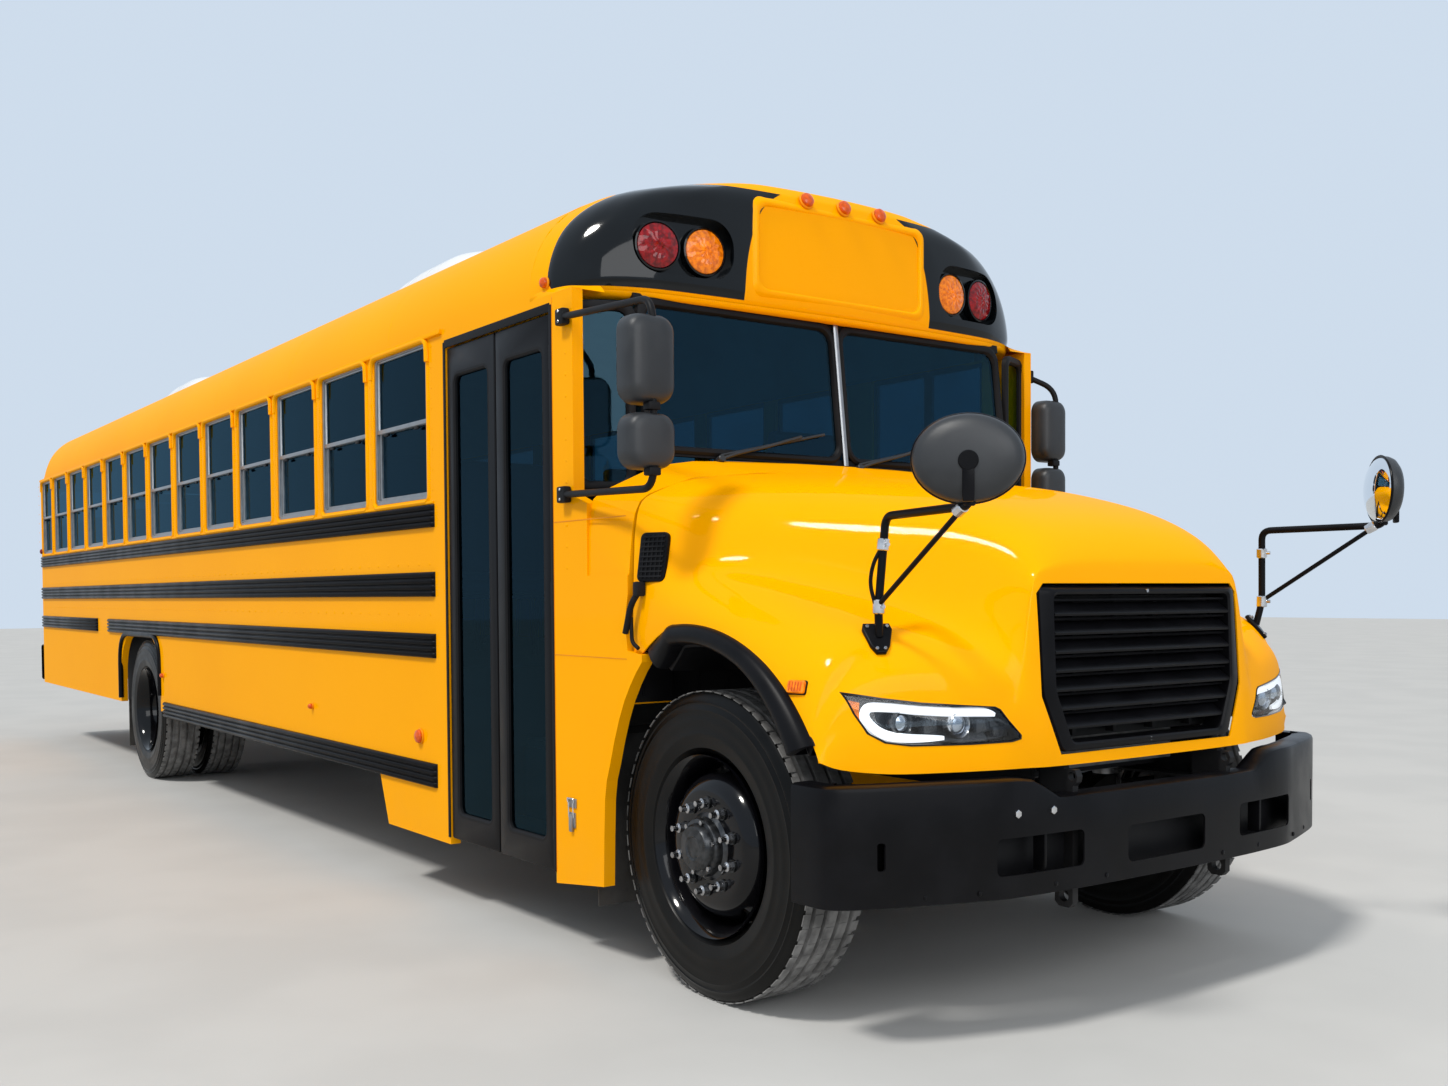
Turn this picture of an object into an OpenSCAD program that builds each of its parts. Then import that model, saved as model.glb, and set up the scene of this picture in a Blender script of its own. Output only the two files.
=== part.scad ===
// Conventional school bus, full size, in millimetres.
// +X points forward, +Y to the left, +Z up, with the ground at Z = 0.
// Inside every module X is measured from the front axle; placed() moves it to the part's own origin,
// which lies on the ground under the middle of the overall length.

/* [Overall] */
// Distance from the part's origin forward to the front axle
front_axle_x = 4934; // [4900:1:5000]
// Distance between front and rear axle
wheelbase = 7080; // [7060:5:7100]
// Width of the body over its side sheets
body_w = 2438; // [2438:1:2438]
// Height of the roof's crown above the ground
roof_top_z = 2990; // [2980:5:3020]

/* [Body] */
// Thickness of a side wall, roof or rear wall
wall_t = 45; // [40:1:50]
// Height where the roof's corner arc starts
spring_z = 2460; // [2455:1:2470]
// Radius of the arc between side wall and roof
roof_corner_r = 420; // [400:10:430]
// Top of the cabin floor
floor_z = 1020; // [1010:5:1030]
// Lower edge of the side skirt
skirt_z = 530; // [520:5:540]
// Window pitch along the side
bay_pitch = 700; // [695:1:702]
// Number of passenger windows on each side
bay_count = 13; // [11:1:13]
// Window opening width
window_w = 590; // [570:1:600]
// Window opening height
window_h = 685; // [660:5:685]

/* [Entry door] */
// Rear edge of the door opening, behind the front axle
door_rear = 1768; // [1760:1:1775]
// Front edge of the door opening, behind the front axle
door_front = 863; // [860:1:870]
// Thickness of each door leaf
leaf_t = 35; // [30:1:38]

/* [Wheels] */
// Tyre radius
tyre_r = 508; // [500:1:512]
// Tyre width
tyre_w = 275; // [265:5:280]
// Half of the front track
front_track_half = 1005; // [1000:1:1010]
// Half-track of the outer rear wheel
rear_outer_half = 1062; // [1055:1:1065]
// Spacing between the twin rear wheels
twin_pitch = 330; // [326:2:334]
// Distance of the kingpin from the centre line
kingpin_y = 880; // [875:1:885]

/* [Hood] */
// Half-width of the grille opening in the hood
grille_half_w = 500; // [490:5:505]
// Upper edge of the grille opening
grille_top_z = 1350; // [1345:1:1352]
// Lower edge of the grille opening
grille_bottom_z = 842; // [842:1:850]
// Hood shell thickness
hood_t = 6; // [5:1:8]
// Grid steps of the hood shell from the centre line to one side
hood_nu = 14; // [14:1:18]
// Grid steps of the hood shell from the cowl to the nose
hood_nv = 18; // [18:1:22]

/* [Hidden] */

$fn = 48;
half_w = body_w / 2;
axle_z = tyre_r;
yellow = [1.0, 0.62, 0.02];
black = [0.05, 0.05, 0.055];
steel = [0.35, 0.36, 0.38];
silver = [0.75, 0.76, 0.78];
glass = [0.2, 0.3, 0.35, 0.4];
amber = [1.0, 0.45, 0.05];
red = [0.75, 0.05, 0.05];

// Stations along the body, measured from the front axle
body_front = -332;          // forward end of the cowl's side sheet
pillar_x = -694;            // forward edge of the pillar beside the corner window
screen_foot_x = -600;       // windshield at its foot
cap_joint_x = -1010;        // joint between roof and front cap
rear_joint_x = -10600;      // joint between roof and rear cap
body_rear = -10910;         // outside of the rear wall
bumper_rear_x = -11060;     // rear face of the rear bumper
sill_z = 1755;              // lower edge of the passenger windows
head_z = sill_z + window_h; // upper edge of the passenger windows
driver_sill_z = 1600;
driver_window = [-1740, -960];
door_post_w = 30;
first_window_x = -1965;     // forward edge of the first passenger window
rear_axle_x = -wheelbase;
door_z0 = 291;
door_z1 = 2377;
door_frame_w = 16;          // frame strip ahead of the door opening
front_skirt_z = 270;
front_skirt_x = -2446;
seam = 1;                   // gap between neighbouring sheets of one piece

// Crown of the roof: one arc that meets both corner arcs without a kink
corner_y = half_w - roof_corner_r;
crown_h = roof_top_z - spring_z;
crown_r = (pow(corner_y, 2) + pow(crown_h, 2) - pow(roof_corner_r, 2)) / (2 * (crown_h - roof_corner_r));
crown_angle = atan(corner_y / (crown_r - crown_h));

// ---------------------------------------------------------------- helpers

// Moves a module that measures X from the front axle to the part's own origin
module placed() {
    translate([front_axle_x, 0, 0]) children();
}

// Both sides of something drawn on the left
module both_sides() {
    children();
    mirror([0, 1, 0]) children();
}

// Extrudes an (x, z) outline from y0 to y1
module across(y0, y1) {
    translate([0, y1, 0]) rotate([90, 0, 0]) linear_extrude(y1 - y0) children();
}

// Extrudes a (y, z) outline from x0 to x1
module along(x0, x1) {
    translate([x0, 0, 0]) rotate([90, 0, 90]) linear_extrude(x1 - x0) children();
}

// A box from its lowest to its highest corner
module block(a, b) {
    translate(a) cube(b - a);
}

// A rectangle from its lower left to its upper right corner
module rect(a, b) {
    translate(a) square(b - a);
}
// A round bar between two points
module bar(p, q, r) {
    d = q - p;
    translate(p)
        rotate([0, acos(d.z / norm(d)), atan2(d.y, d.x)])
            cylinder(r = r, h = norm(d));
}

function unit(v) = v / max(norm(v), 0.0001);

// Path through a list of points with every corner rounded to a bend radius
function bend_path(points, bend) = [
    points[0],
    for (i = [1:len(points) - 2]) let (
        u = unit(points[i] - points[i - 1]),
        w = unit(points[i + 1] - points[i]),
        angle = acos(u * w),
        side = unit(w - u * (u * w)),
        start = points[i] - u * bend * tan(angle / 2)
    ) for (k = [0:4]) let (a = angle * k / 4)
        start + bend * (side * (1 - cos(a)) + u * sin(a)),
    points[len(points) - 1],
];

// Direction of a path at point i, and a cross direction carried along it without twisting
function path_dir(p, i) = unit(p[min(i + 1, len(p) - 1)] - p[max(i - 1, 0)]);
function path_side(p, i) = i == 0
    ? unit(cross(path_dir(p, 0), abs(path_dir(p, 0).z) < 0.9 ? [0, 0, 1] : [0, 1, 0]))
    : let (s = path_side(p, i - 1), d = path_dir(p, i)) unit(s - d * (s * d));

// Round tube through a list of points, with every corner bent to a radius
module bent_tube(points, r, bend, sides = 12) {
    p = bend_path(points, bend);
    n = len(p);
    rings = [for (i = [0:n - 1]) let (d = path_dir(p, i), s = path_side(p, i), t = cross(d, s))
        for (k = [0:sides - 1]) p[i] + r * (cos(360 * k / sides) * s + sin(360 * k / sides) * t)];
    polyhedron(rings, concat(
        [[for (k = [0:sides - 1]) k]],
        [for (i = [0:n - 2], k = [0:sides - 1]) let (a = i * sides, m = (k + 1) % sides)
            [a + k, a + sides + k, a + sides + m, a + m]],
        [[for (k = [sides - 1:-1:0]) (n - 1) * sides + k]]
    ));
}

function on_circle(c, r, a) = c + r * [cos(a), sin(a)];

// One quarter of the roof line from the side wall to the crown, moved inwards by an inset
function roof_half(inset) = concat(
    [for (i = [0:8]) on_circle([corner_y, spring_z], roof_corner_r - inset, i * (90 - crown_angle) / 8)],
    [for (i = [1:5]) on_circle([0, roof_top_z - crown_r], crown_r - inset, 90 - crown_angle * (1 - i / 5))]
);

// Whole roof line from the left spring line to the right one; the crown point is kept once
function roof_line(inset) = concat(
    roof_half(inset),
    [for (i = [len(roof_half(inset)) - 2:-1:0]) [-roof_half(inset)[i].x, roof_half(inset)[i].y]]
);

function reversed(points) = [for (i = [len(points) - 1:-1:0]) points[i]];

// ---------------------------------------------------------------- body shell

module roof() {
    color(yellow) placed() along(rear_joint_x, cap_joint_x)
        polygon(concat(
            [[half_w, head_z]], roof_line(0), [[-half_w, head_z], [wall_t - half_w, head_z]],
            reversed(roof_line(wall_t)), [[half_w - wall_t, head_z]]
        ));
}

// Roof section closed along the bottom
module cap_section(inset, bottom) {
    polygon(concat([[half_w - inset, bottom]], roof_line(inset), [[inset - half_w, bottom]]));
}

// Half plan of the front cap, from the side sheet round to the centre line
cap_plan = [[-1010, 1219], [-900, 1210], [-825, 1182], [-769, 1140], [-712, 1070], [-668, 965], [-642, 845],
            [-624, 600], [-613, 300], [-608, 0]];
// Side view of the front cap, from the brow over the top
cap_profile = [[-640, 2440], [-616, 2462], [-608, 2520], [-608, 2850], [-622, 2902], [-662, 2942],
               [-735, 2970], [-860, 2986], [-1010, 2990]];

// The front cap as a solid, shrunk by an inset; back and bottom say how far it runs
module cap_solid(inset, back, bottom) {
    plan = [for (p = cap_plan) [p.x - inset, p.y * (1 - inset / half_w)]];
    side = [for (p = cap_profile) [p.x - inset, p.y - inset]];
    intersection() {
        along(back, -500) cap_section(inset, bottom);
        translate([0, 0, bottom]) linear_extrude(1000)
            polygon(concat([[back, plan[0].y]], plan, [for (p = reversed(plan)) [p.x, -p.y]], [[back, -plan[0].y]]));
        across(-half_w, half_w)
            polygon(concat([[back, bottom], [side[0].x, bottom]], side, [[back, roof_top_z - inset]]));
    }
}

warning_lamp_y = [657, 855];
warning_lamp_z = 2634;
warning_lamp_r = 88;
clearance_lamps = [[-606, 0, 2882], [-607, 194, 2880], [-607, -194, 2880]];

module front_cap() {
    difference() {
        cap_solid(0, cap_joint_x, head_z);
        cap_solid(wall_t, cap_joint_x - 10, head_z - 10);
        both_sides() for (y = warning_lamp_y)
            translate([-760, y, warning_lamp_z]) rotate([0, 90, 0]) cylinder(r = warning_lamp_r + 2, h = 300);
        for (p = clearance_lamps) translate([p.x - 60, p.y, p.z]) rotate([0, 90, 0]) cylinder(r = 27, h = 100);
    }
}

// The rear cap rounds off in steps: [x, inset] pairs from the roof joint to the rear wall
rear_cap_steps = [[-10602, 0], [-10690, 8], [-10770, 30], [-10835, 66], [-10880, 110], [-10910, 170]];

module rear_cap_solid(inset, bottom) {
    hull() for (s = rear_cap_steps) along(s.x, s.x + 1) cap_section(s.y + inset, bottom);
}

module rear_cap() {
    difference() {
        rear_cap_solid(0, head_z);
        translate([40, 0, 0]) rear_cap_solid(wall_t, head_z - 30);
        both_sides() for (y = warning_lamp_y)
            translate([body_rear - 20, y, warning_lamp_z]) rotate([0, 90, 0]) cylinder(r = warning_lamp_r + 2, h = 160);
    }
}

module roof_caps() {
    color(yellow) placed() {
        front_cap();
        rear_cap();
    }
}

// Rear wheel opening: flat top with round corners, open at the bottom
arch_rear_x = -7735;
arch_front_x = -6560;
arch_top_z = 1058;
arch_corner_r = 330;
module rear_arch(grow) {
    a = arch_rear_x - grow;
    b = arch_front_x + grow;
    t = arch_top_z + grow;
    r = arch_corner_r;
    rect([a, 300], [b, t - r]);
    rect([a + r, 300], [b - r, t]);
    for (x = [a + r, b - r]) translate([x, t - r]) circle(r);
}

// Lower side sheet behind the entry door, the same on both sides
module side_outline() {
    difference() {
        polygon([
            [body_rear + wall_t, skirt_z], [front_skirt_x - 110, skirt_z], [front_skirt_x, front_skirt_z],
            [-door_rear - door_post_w, front_skirt_z], [-door_rear - door_post_w, sill_z],
            [body_rear + wall_t, sill_z],
        ]);
        rear_arch(0);
    }
}

// The left sheet runs on under the driver's window to the cowl
module side_panels() {
    color(yellow) placed() {
        across(-half_w, -half_w + wall_t) side_outline();
        across(half_w - wall_t, half_w) {
            side_outline();
            rect([-door_rear - door_post_w, front_skirt_z], [-door_front + door_frame_w, driver_sill_z]);
        }
        // bracket of the stop arm
        block([stop_arm_hinge.x + 12, half_w, 1460], [stop_arm_hinge.x + 60, half_w + 26, 1640]);
    }
}

// Forward and rearward edges of passenger window i; the last window ends before the rear post
function window_front(i) = first_window_x - i * bay_pitch;
function window_back(i) = max(window_front(i) - window_w, body_rear + wall_t + 36);

// One post of the left side wall, given by its (x, z) corners
module left_post(a, b) {
    block([a.x, half_w - wall_t, a.y], [b.x, half_w, b.y]);
}

// Posts between the windows, and the frame of the entry door
module body_posts() {
    color(yellow) placed() {
        both_sides() {
            for (i = [1:bay_count - 1]) left_post([window_front(i), sill_z], [window_back(i - 1), head_z]);
            left_post([body_rear + wall_t, sill_z], [window_back(bay_count - 1), head_z]);
            left_post([first_window_x, sill_z], [-door_rear - door_post_w, head_z]);
        }
        left_post([-door_rear - door_post_w, driver_sill_z], [driver_window[0], head_z]);
        left_post([driver_window[1], driver_sill_z], [-door_front + door_frame_w, head_z]);
        mirror([0, 1, 0]) {
            left_post([-door_rear - door_post_w + seam, front_skirt_z], [-door_rear, door_z1 + 10]);
            left_post([-door_rear - door_post_w + seam, door_z1 + 10 + seam], [-door_front + door_frame_w, head_z]);
        }
    }
}

sash_w = 20; // width of a sash's frame
module sash_outline(x0, x1, z0, z1) {
    difference() {
        rect([x0, z0], [x1, z1]);
        rect([x0 + sash_w, z0 + sash_w], [x1 - sash_w, z0 + 0.475 * (z1 - z0)]);
        rect([x0 + sash_w, z0 + 0.505 * (z1 - z0)], [x1 - sash_w, z1 - sash_w]);
    }
}

driver_split = driver_window[0] + 400;
module window_sashes() {
    color(silver) placed() {
        both_sides() across(half_w - 26, half_w - 8)
            for (i = [0:bay_count - 1]) sash_outline(window_back(i), window_front(i), sill_z, head_z);
        across(half_w - 26, half_w - 8) {
            sash_outline(driver_window[0], driver_split, driver_sill_z, head_z);
            sash_outline(driver_split, driver_window[1], driver_sill_z, head_z);
        }
    }
}

module window_glass() {
    color(glass) placed() {
        both_sides() across(half_w - 32, half_w - 26)
            for (i = [0:bay_count - 1]) rect([window_back(i), sill_z], [window_front(i), head_z]);
        across(half_w - 32, half_w - 26)
            rect([driver_window[0], driver_sill_z], [driver_window[1], head_z]);
        along(body_rear + 20, body_rear + 26) both_rear_windows();
        both_sides() {
            across(screen_post_y, screen_y) screen_band(20, 26, screen_z0, screen_z1);
            block([pillar_x + 28, corner_window_y[0], corner_window_z[0]],
                  [pillar_x + 34, corner_window_y[1], corner_window_z[1]]);
        }
    }
}

module both_rear_windows() {
    for (s = [-1, 1]) scale([s, 1]) rect([600, 1770], [1060, 2360]);
}

door_opening_half = 490;
rear_door_z = [940, 2388];
module rear_wall() {
    color(yellow) placed() along(body_rear, body_rear + wall_t) difference() {
        rect([-half_w, skirt_z], [half_w, head_z]);
        rect([-door_opening_half, rear_door_z[0]], [door_opening_half, rear_door_z[1]]);
        both_rear_windows();
    }
}

// Side sheet between door and hood; its forward edge curves round behind the front wheel
module cowl_side_outline() {
    polygon([
        [-door_front + door_frame_w, 258], [-505, 300], [-500, 470], [-493, 610], [-480, 680], [-457, 737],
        [-428, 820], [-395, 899], [-360, 965], [-322, 1020], [-282, 1068], [-246, 1104], [-246, 1128],
        [-335, 1140], [-352, 1240], [body_front, 1330], [body_front, 1560], [pillar_x + seam, 1690],
        [pillar_x, head_z], [-door_front + door_frame_w, head_z],
    ]);
}

// Top edge of the cowl at the hood joint and at the foot of the windshield, from the side to the centre
cowl_line_front = [[1213, 1400], [1207, 1470], [1199, 1551], [1188, 1607], [1167, 1650], [1133, 1676],
                   [1084, 1695], [1000, 1715], [950, 1740], [780, 1757], [650, 1772], [270, 1785], [0, 1786]];
cowl_line_rear = [[1213, 1400], [1211, 1540], [1206, 1620], [1192, 1672], [1160, 1700], [1105, 1716],
                  [1040, 1742], [985, 1775], [920, 1806], [760, 1830], [600, 1838], [270, 1846], [0, 1848]];

module cowl_top_solid(inset, reach) {
    hull() {
        for (end = [[body_front + reach, cowl_line_front], [screen_foot_x - reach, cowl_line_rear]])
            let (half = [for (p = end[1]) [p.x - inset, p.y - inset]])
                along(end[0] - 0.5, end[0] + 0.5)
                    polygon(concat(half, [for (p = reversed(half)) [-p.x, p.y]]));
    }
}

module cowl() {
    color(yellow) placed() {
        both_sides() across(half_w - wall_t, half_w) intersection() {
            cowl_side_outline();
            union() {
                rect([-2000, 0], [0, 1400]);
                rect([-2000, 0], [screen_foot_x - 1, 3000]);
            }
        }
        difference() {
            cowl_top_solid(0, 0);
            cowl_top_solid(20, 2);
        }
        // firewall
        block([-430, -half_w + wall_t + seam, 950], [-400, half_w - wall_t - seam, 1390]);
    }
}

// Windshield: one plane that leans back, split by a post in the middle
screen_z0 = 1880;
screen_z1 = 2400;
screen_y = 925;
screen_post_y = 18;
corner_window_y = [1000, 1185];
corner_window_z = [1750, 2360];
function screen_x(z) = screen_foot_x - 2 - 0.115 * max(0, z - 1850);

// A layer of the windshield's plane between two depths and two heights
module screen_band(d0, d1, z0, z1) {
    polygon([[screen_x(z0) - d0, z0], [screen_x(z1) - d0, z1], [screen_x(z1) - d1, z1], [screen_x(z0) - d1, z0]]);
}

module windshield_frame() {
    color(black) placed() {
        difference() {
            across(-975, 975) union() {
                screen_band(0, 40, 1850, head_z);
                screen_band(0, 40, 1700, 1850);
            }
            both_sides() across(screen_post_y, screen_y) screen_band(-50, 90, screen_z0, screen_z1);
        }
        // corner window frames
        both_sides() difference() {
            translate([0, 0, 1700]) linear_extrude(head_z - 1700)
                polygon([[-632, 976], [pillar_x + seam, half_w - 2], [pillar_x + seam, half_w - 60], [-690, 976]]);
            block([-800, corner_window_y[0], corner_window_z[0]], [-500, corner_window_y[1], corner_window_z[1]]);
        }
    }
}

// ---------------------------------------------------------------- floor and inside

housing_x = [rear_axle_x - 655, rear_axle_x + 615];
housing_y = 545;
module floor() {
    color(steel) placed() {
        z = floor_z - 40;
        inner = half_w - wall_t - seam;
        // middle boards, and side boards around the wheel housings and the entry steps
        block([body_rear + wall_t, -housing_y + seam, z], [-431, housing_y - seam, floor_z]);
        both_sides() {
            block([body_rear + wall_t, housing_y, z], [housing_x[0] - seam, inner, floor_z]);
            block([housing_x[1] + seam, housing_y, z], [-door_rear - 16, inner, floor_z]);
        }
        block([-door_rear - 15, housing_y, z], [-431, inner, floor_z]);
        block([-door_front + 16, -inner, z], [-431, -housing_y, floor_z]);
    }
}

// Boxes over the rear wheels, open to the outside
module wheel_housings() {
    color(steel) placed() both_sides() {
        out = half_w - wall_t - seam;
        block([housing_x[0], housing_y, 1135], [housing_x[1], out, 1150]);
        block([housing_x[0], housing_y, 540], [housing_x[0] + 15, out, 1135 - seam]);
        block([housing_x[1] - 15, housing_y, 540], [housing_x[1], out, 1135 - seam]);
        block([housing_x[0] + 15 + seam, housing_y, 680], [housing_x[1] - 15 - seam, housing_y + 15, 1135 - seam]);
    }
}

// Treads and risers behind the entry door
module entry_steps() {
    color(steel) placed() {
        block([-door_rear, -1170, 330], [-door_front, -870, 360]);
        block([-door_rear, -870 + seam, 330], [-door_front, -850, 670 - seam]);
        block([-door_rear, -850, 670], [-door_front, -560 - seam, 700]);
        block([-door_rear, -560, 670], [-door_front, -546, floor_z]);
        for (x = [-door_rear - 15, -door_front + seam])
            block([x, -1170, 330], [x + 14, -546, floor_z]);
    }
}

// One bench: a cushion, a back and a pedestal frame
module bench(x, y0, y1) {
    block([x - 200, y0, floor_z + 320], [x + 210, y1, floor_z + 430]);
    block([x - 290, y0, floor_z + 320], [x - 200, y1, floor_z + 1000]);
    block([x - 230, y0 + 60, floor_z], [x + 150, y0 + 90, floor_z + 320]);
}

bench_x = [for (i = [0:11]) -2560 - i * 688];

module driver_seat() {
    block([-1560, 390, floor_z + 330], [-1090, 860, floor_z + 440]);
    block([-1650, 400, floor_z + 330], [-1560, 850, floor_z + 1100]);
    block([-1460, 500, floor_z], [-1190, 750, floor_z + 330]);
}

module seats() {
    color([0.08, 0.12, 0.2]) placed() {
        both_sides() for (x = bench_x) bench(x, 190, 1140);
        driver_seat();
    }
}

wheel_tilt = 56;
wheel_centre = [-985, 0, 1770];
steer_y = 620;
module dashboard() {
    color([0.12, 0.12, 0.13]) placed() {
        block([-900, -480, 1420], [-680, 1160, 1690]);
        block([-680 + seam, -1120, 1080], [-432, 1120, 1660]);
        translate([wheel_centre.x, steer_y, wheel_centre.z]) rotate([0, 180 - wheel_tilt, 0])
            translate([0, 0, 26]) cylinder(r = 28, h = 60);
    }
}

module steering_wheel() {
    color(black) placed() translate([wheel_centre.x, steer_y, wheel_centre.z]) rotate([0, -wheel_tilt, 0]) {
        rotate_extrude() translate([215, 0]) circle(15);
        cylinder(r = 45, h = 40, center = true);
        for (a = [90, 210, 330]) rotate([0, 0, a]) translate([0, -18, -6]) cube([214, 36, 12]);
    }
}

// ---------------------------------------------------------------- chassis

rail_y = 430;
rail_z0 = 690;
rail_z1 = 945;
rail_front_x = 770;

module frame_rail() {
    across(rail_y - 8, rail_y) rect([body_rear + wall_t, rail_z0], [rail_front_x, rail_z1]);
    for (z = [rail_z0, rail_z1 - 8])
        across(rail_y - 80, rail_y - 8) rect([body_rear + wall_t, z], [rail_front_x, z + 8]);
}

// Plate ahead of a rail's end that carries the hood hinge above and the tow eye below the bumper
tow_eye = [870, 392.5, 400];
tow_eye_r = 19;
module front_plate() {
    difference() {
        across(380, 405) polygon([
            [rail_front_x + seam, 700], [rail_front_x + seam, 832], [850, 832], [872, 790], [912, 790],
            [922, 770], [918, 752], [905, 740], [905, 380], [890, 365], [850, 365], [835, 380], [835, 640],
            [800, 700],
        ]);
        translate([tow_eye.x, 0, tow_eye.z]) rotate([90, 0, 0]) cylinder(r = tow_eye_r, h = 1000, center = true);
        translate([hood_pivot.x, 0, hood_pivot.z]) rotate([90, 0, 0]) cylinder(r = 14, h = 1000, center = true);
    }
}

module chassis_frame() {
    color(black) placed() {
        both_sides() {
            frame_rail();
            front_plate();
            // outriggers under the floor
            for (x = [-2700, -4200, -5600, -8400, -9600])
                block([x - 30, rail_y + seam, rail_z1 - 50], [x + 30, half_w - wall_t - seam, rail_z1]);
        }
        for (x = [600, -900, -2400, -3900, -5400, -6400, -7700, -9000, -10700])
            block([x - 40, -rail_y + 80 + seam, rail_z0 + 40], [x + 40, rail_y - 80 - seam, rail_z1 - 40]);
    }
}

// Springs under one rail: five leaves, with eyes and hangers at both ends
module leaf_spring(x, y, z, length) {
    for (i = [0:4]) let (l = length * (1 - 0.16 * i))
        block([x - l / 2, y - 38, z - 14 * i - 13], [x + l / 2, y + 38, z - 14 * i]);
    for (s = [-1, 1]) translate([x + s * length / 2, y, z - 6]) rotate([90, 0, 0])
        cylinder(r = 32, h = 76, center = true);
    for (s = [-1, 1]) block([x + s * length / 2 - 25, y - 20, z], [x + s * length / 2 + 25, y + 20, rail_z0]);
}

module front_axle() {
    color(black) placed() {
        both_sides() {
            leaf_spring(0, rail_y - 40, 600, 1300);
            block([-45, rail_y - 78, 440], [45, rail_y - 2, 531]);
            // dropped beam rising to the kingpin's eye
            difference() {
                union() {
                    along(-45, 45) polygon([[540, 350], [540, 440], [790, 560], [838, 580], [838, 430], [790, 430], [600, 350]]);
                    translate([0, kingpin_y, 430]) cylinder(r = 48, h = 150);
                    along(-45, 45) rect([836, 432], [kingpin_y, 578]);
                }
                translate([0, kingpin_y, 400]) cylinder(r = 22, h = 260);
            }
        }
        block([-55, -545, 350], [55, 545, 440]);
    }
}

module rear_axle() {
    color(black) placed() {
        both_sides() {
            leaf_spring(rear_axle_x, rail_y - 40, 660, 1400);
            translate([rear_axle_x, 570, axle_z]) rotate([-90, 0, 0]) cylinder(r = 44.9, h = 410);
            block([rear_axle_x - 50, rail_y - 78, axle_z], [rear_axle_x + 50, rail_y - 2, 591]);
        }
        translate([rear_axle_x, 0, axle_z]) rotate([90, 0, 0]) cylinder(r = 75, h = 1150, center = true);
        translate([rear_axle_x, 0, axle_z]) sphere(205);
        bar([rear_axle_x + 180, 0, axle_z], [-1500, 0, 630], 45);
    }
}

module engine() {
    color(steel) placed() {
        block([-380, -330, 700], [500, 330, 1420]);
        block([650, -330, 760], [720, 330, 1330]);
    }
}

module exhaust() {
    color(steel) placed() {
        bar([-450, -490, 640], [-2498, -490, 640], 48);
        bar([-2500, -560, 640], [-3500, -560, 640], 115);
        resize([0, 0, 0])
            bent_tube([[-3502, -560, 640], [-6000, -560, 640], [-6180, -560, 560], [-6330, -560, 470]], 48, 150);
    }
}

module fuel_tank() {
    color(black) placed() block([-5200, 560, 450], [-3800, 1120, 880]);
}

module mud_flaps() {
    color(black) placed() both_sides() {
        block([-640, 860, 200], [-630, 1165, 850]);
        block([housing_x[0] - 20, 590, 180], [housing_x[0] - 10, 1165, 760]);
    }
}

// ---------------------------------------------------------------- bumpers

// Half plan of the front bumper's face, from its end to the centre line
bumper_face = [[560, 1228], [680, 1226], [722, 1204], [762, 1148], [802, 1060], [848, 935], [888, 820],
               [922, 703], [940, 513], [950, 250], [953, 0]];

module bumper_plan(inset) {
    half = [for (p = bumper_face) [p.x - inset * (p.x > 560 ? 1 : 0), p.y - inset * (p.x < 900 ? 1 : 0)]];
    polygon(concat([for (p = half) [p.x, -p.y]], reversed(half)));
}

module front_bumper() {
    difference() {
        translate([0, 0, 435]) linear_extrude(350) difference() {
            bumper_plan(0);
            bumper_plan(12);
        }
        block([500, -500, 722], [1100, 500, 900]);
        block([500, -198, 490], [1100, 198, 605]);
        both_sides() block([500, 400, 505], [1100, 745, 615]);
    }
}

// The rear bumper is a plate with two ends that meet the rear wall
module rear_bumper() {
    block([bumper_rear_x, -1200, 555], [bumper_rear_x + 10, 1200, 880]);
    both_sides() block([bumper_rear_x + 10 + seam, 1190, 555], [body_rear, 1200, 880]);
}

module bumpers() {
    color(black) placed() {
        front_bumper();
        rear_bumper();
    }
}

// ---------------------------------------------------------------- lamps

// Round lamp that faces along +X, or along -X when dir is -1
module warning_light(x, y, z, dir) {
    translate([x, y, z]) rotate([0, 90 * dir, 0]) {
        cylinder(r = warning_lamp_r, h = 34);
        translate([0, 0, 34]) cylinder(r1 = warning_lamp_r - 4, r2 = 60, h = 12);
    }
}

module exterior_lamps() {
    color(amber) placed() {
        both_sides() {
            for (y = warning_lamp_y) {
                warning_light(-662 - (y > 700 ? 8 : 0), y, warning_lamp_z, 1);
                warning_light(body_rear + 60, y, warning_lamp_z, -1);
            }
            for (z = [1240, 1470])
                translate([body_rear - 22, 960, z]) rotate([0, 90, 0]) cylinder(r = 88, h = 22);
            for (p = [[-2068, 710], [-3448, 758], [-6450, 786]])
                translate([p.x, half_w, p.y]) rotate([-90, 0, 0]) cylinder(r = 30, h = 16);
        }
        for (p = clearance_lamps) translate([p.x - 20, p.y, p.z]) rotate([0, 90, 0]) cylinder(r = 26, h = 36);
    }
}

// ---------------------------------------------------------------- mirrors and wipers

// Arms with two heads: post is the upright tube's place, out is +1 on the left and -1 on the right,
// and inner and outer are how far the heads reach on each side of the tube
module side_mirror(post, out, top, bottom, inner, outer) {
    foot = half_w + 24;
    bent_tube([[-730, out * foot, bottom + 25], [post.x, out * post.y, bottom], [post.x, out * post.y, top],
               [-728, out * foot, top + 60]], 13, 60);
    for (z = [bottom + 25, top + 60])
        block([-760, min(out * (half_w + 2), out * (foot + 14)), z - 24], [-712, max(out * (half_w + 2), out * (foot + 14)), z + 24]);
    for (h = [[bottom + 62, bottom + 242], [bottom + 270, top - 50]])
        block([post.x - 70, min(out * (post.y - inner), out * (post.y + outer)), h[0]],
              [post.x + 25, max(out * (post.y - inner), out * (post.y + outer)), h[1]]);
}

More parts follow.
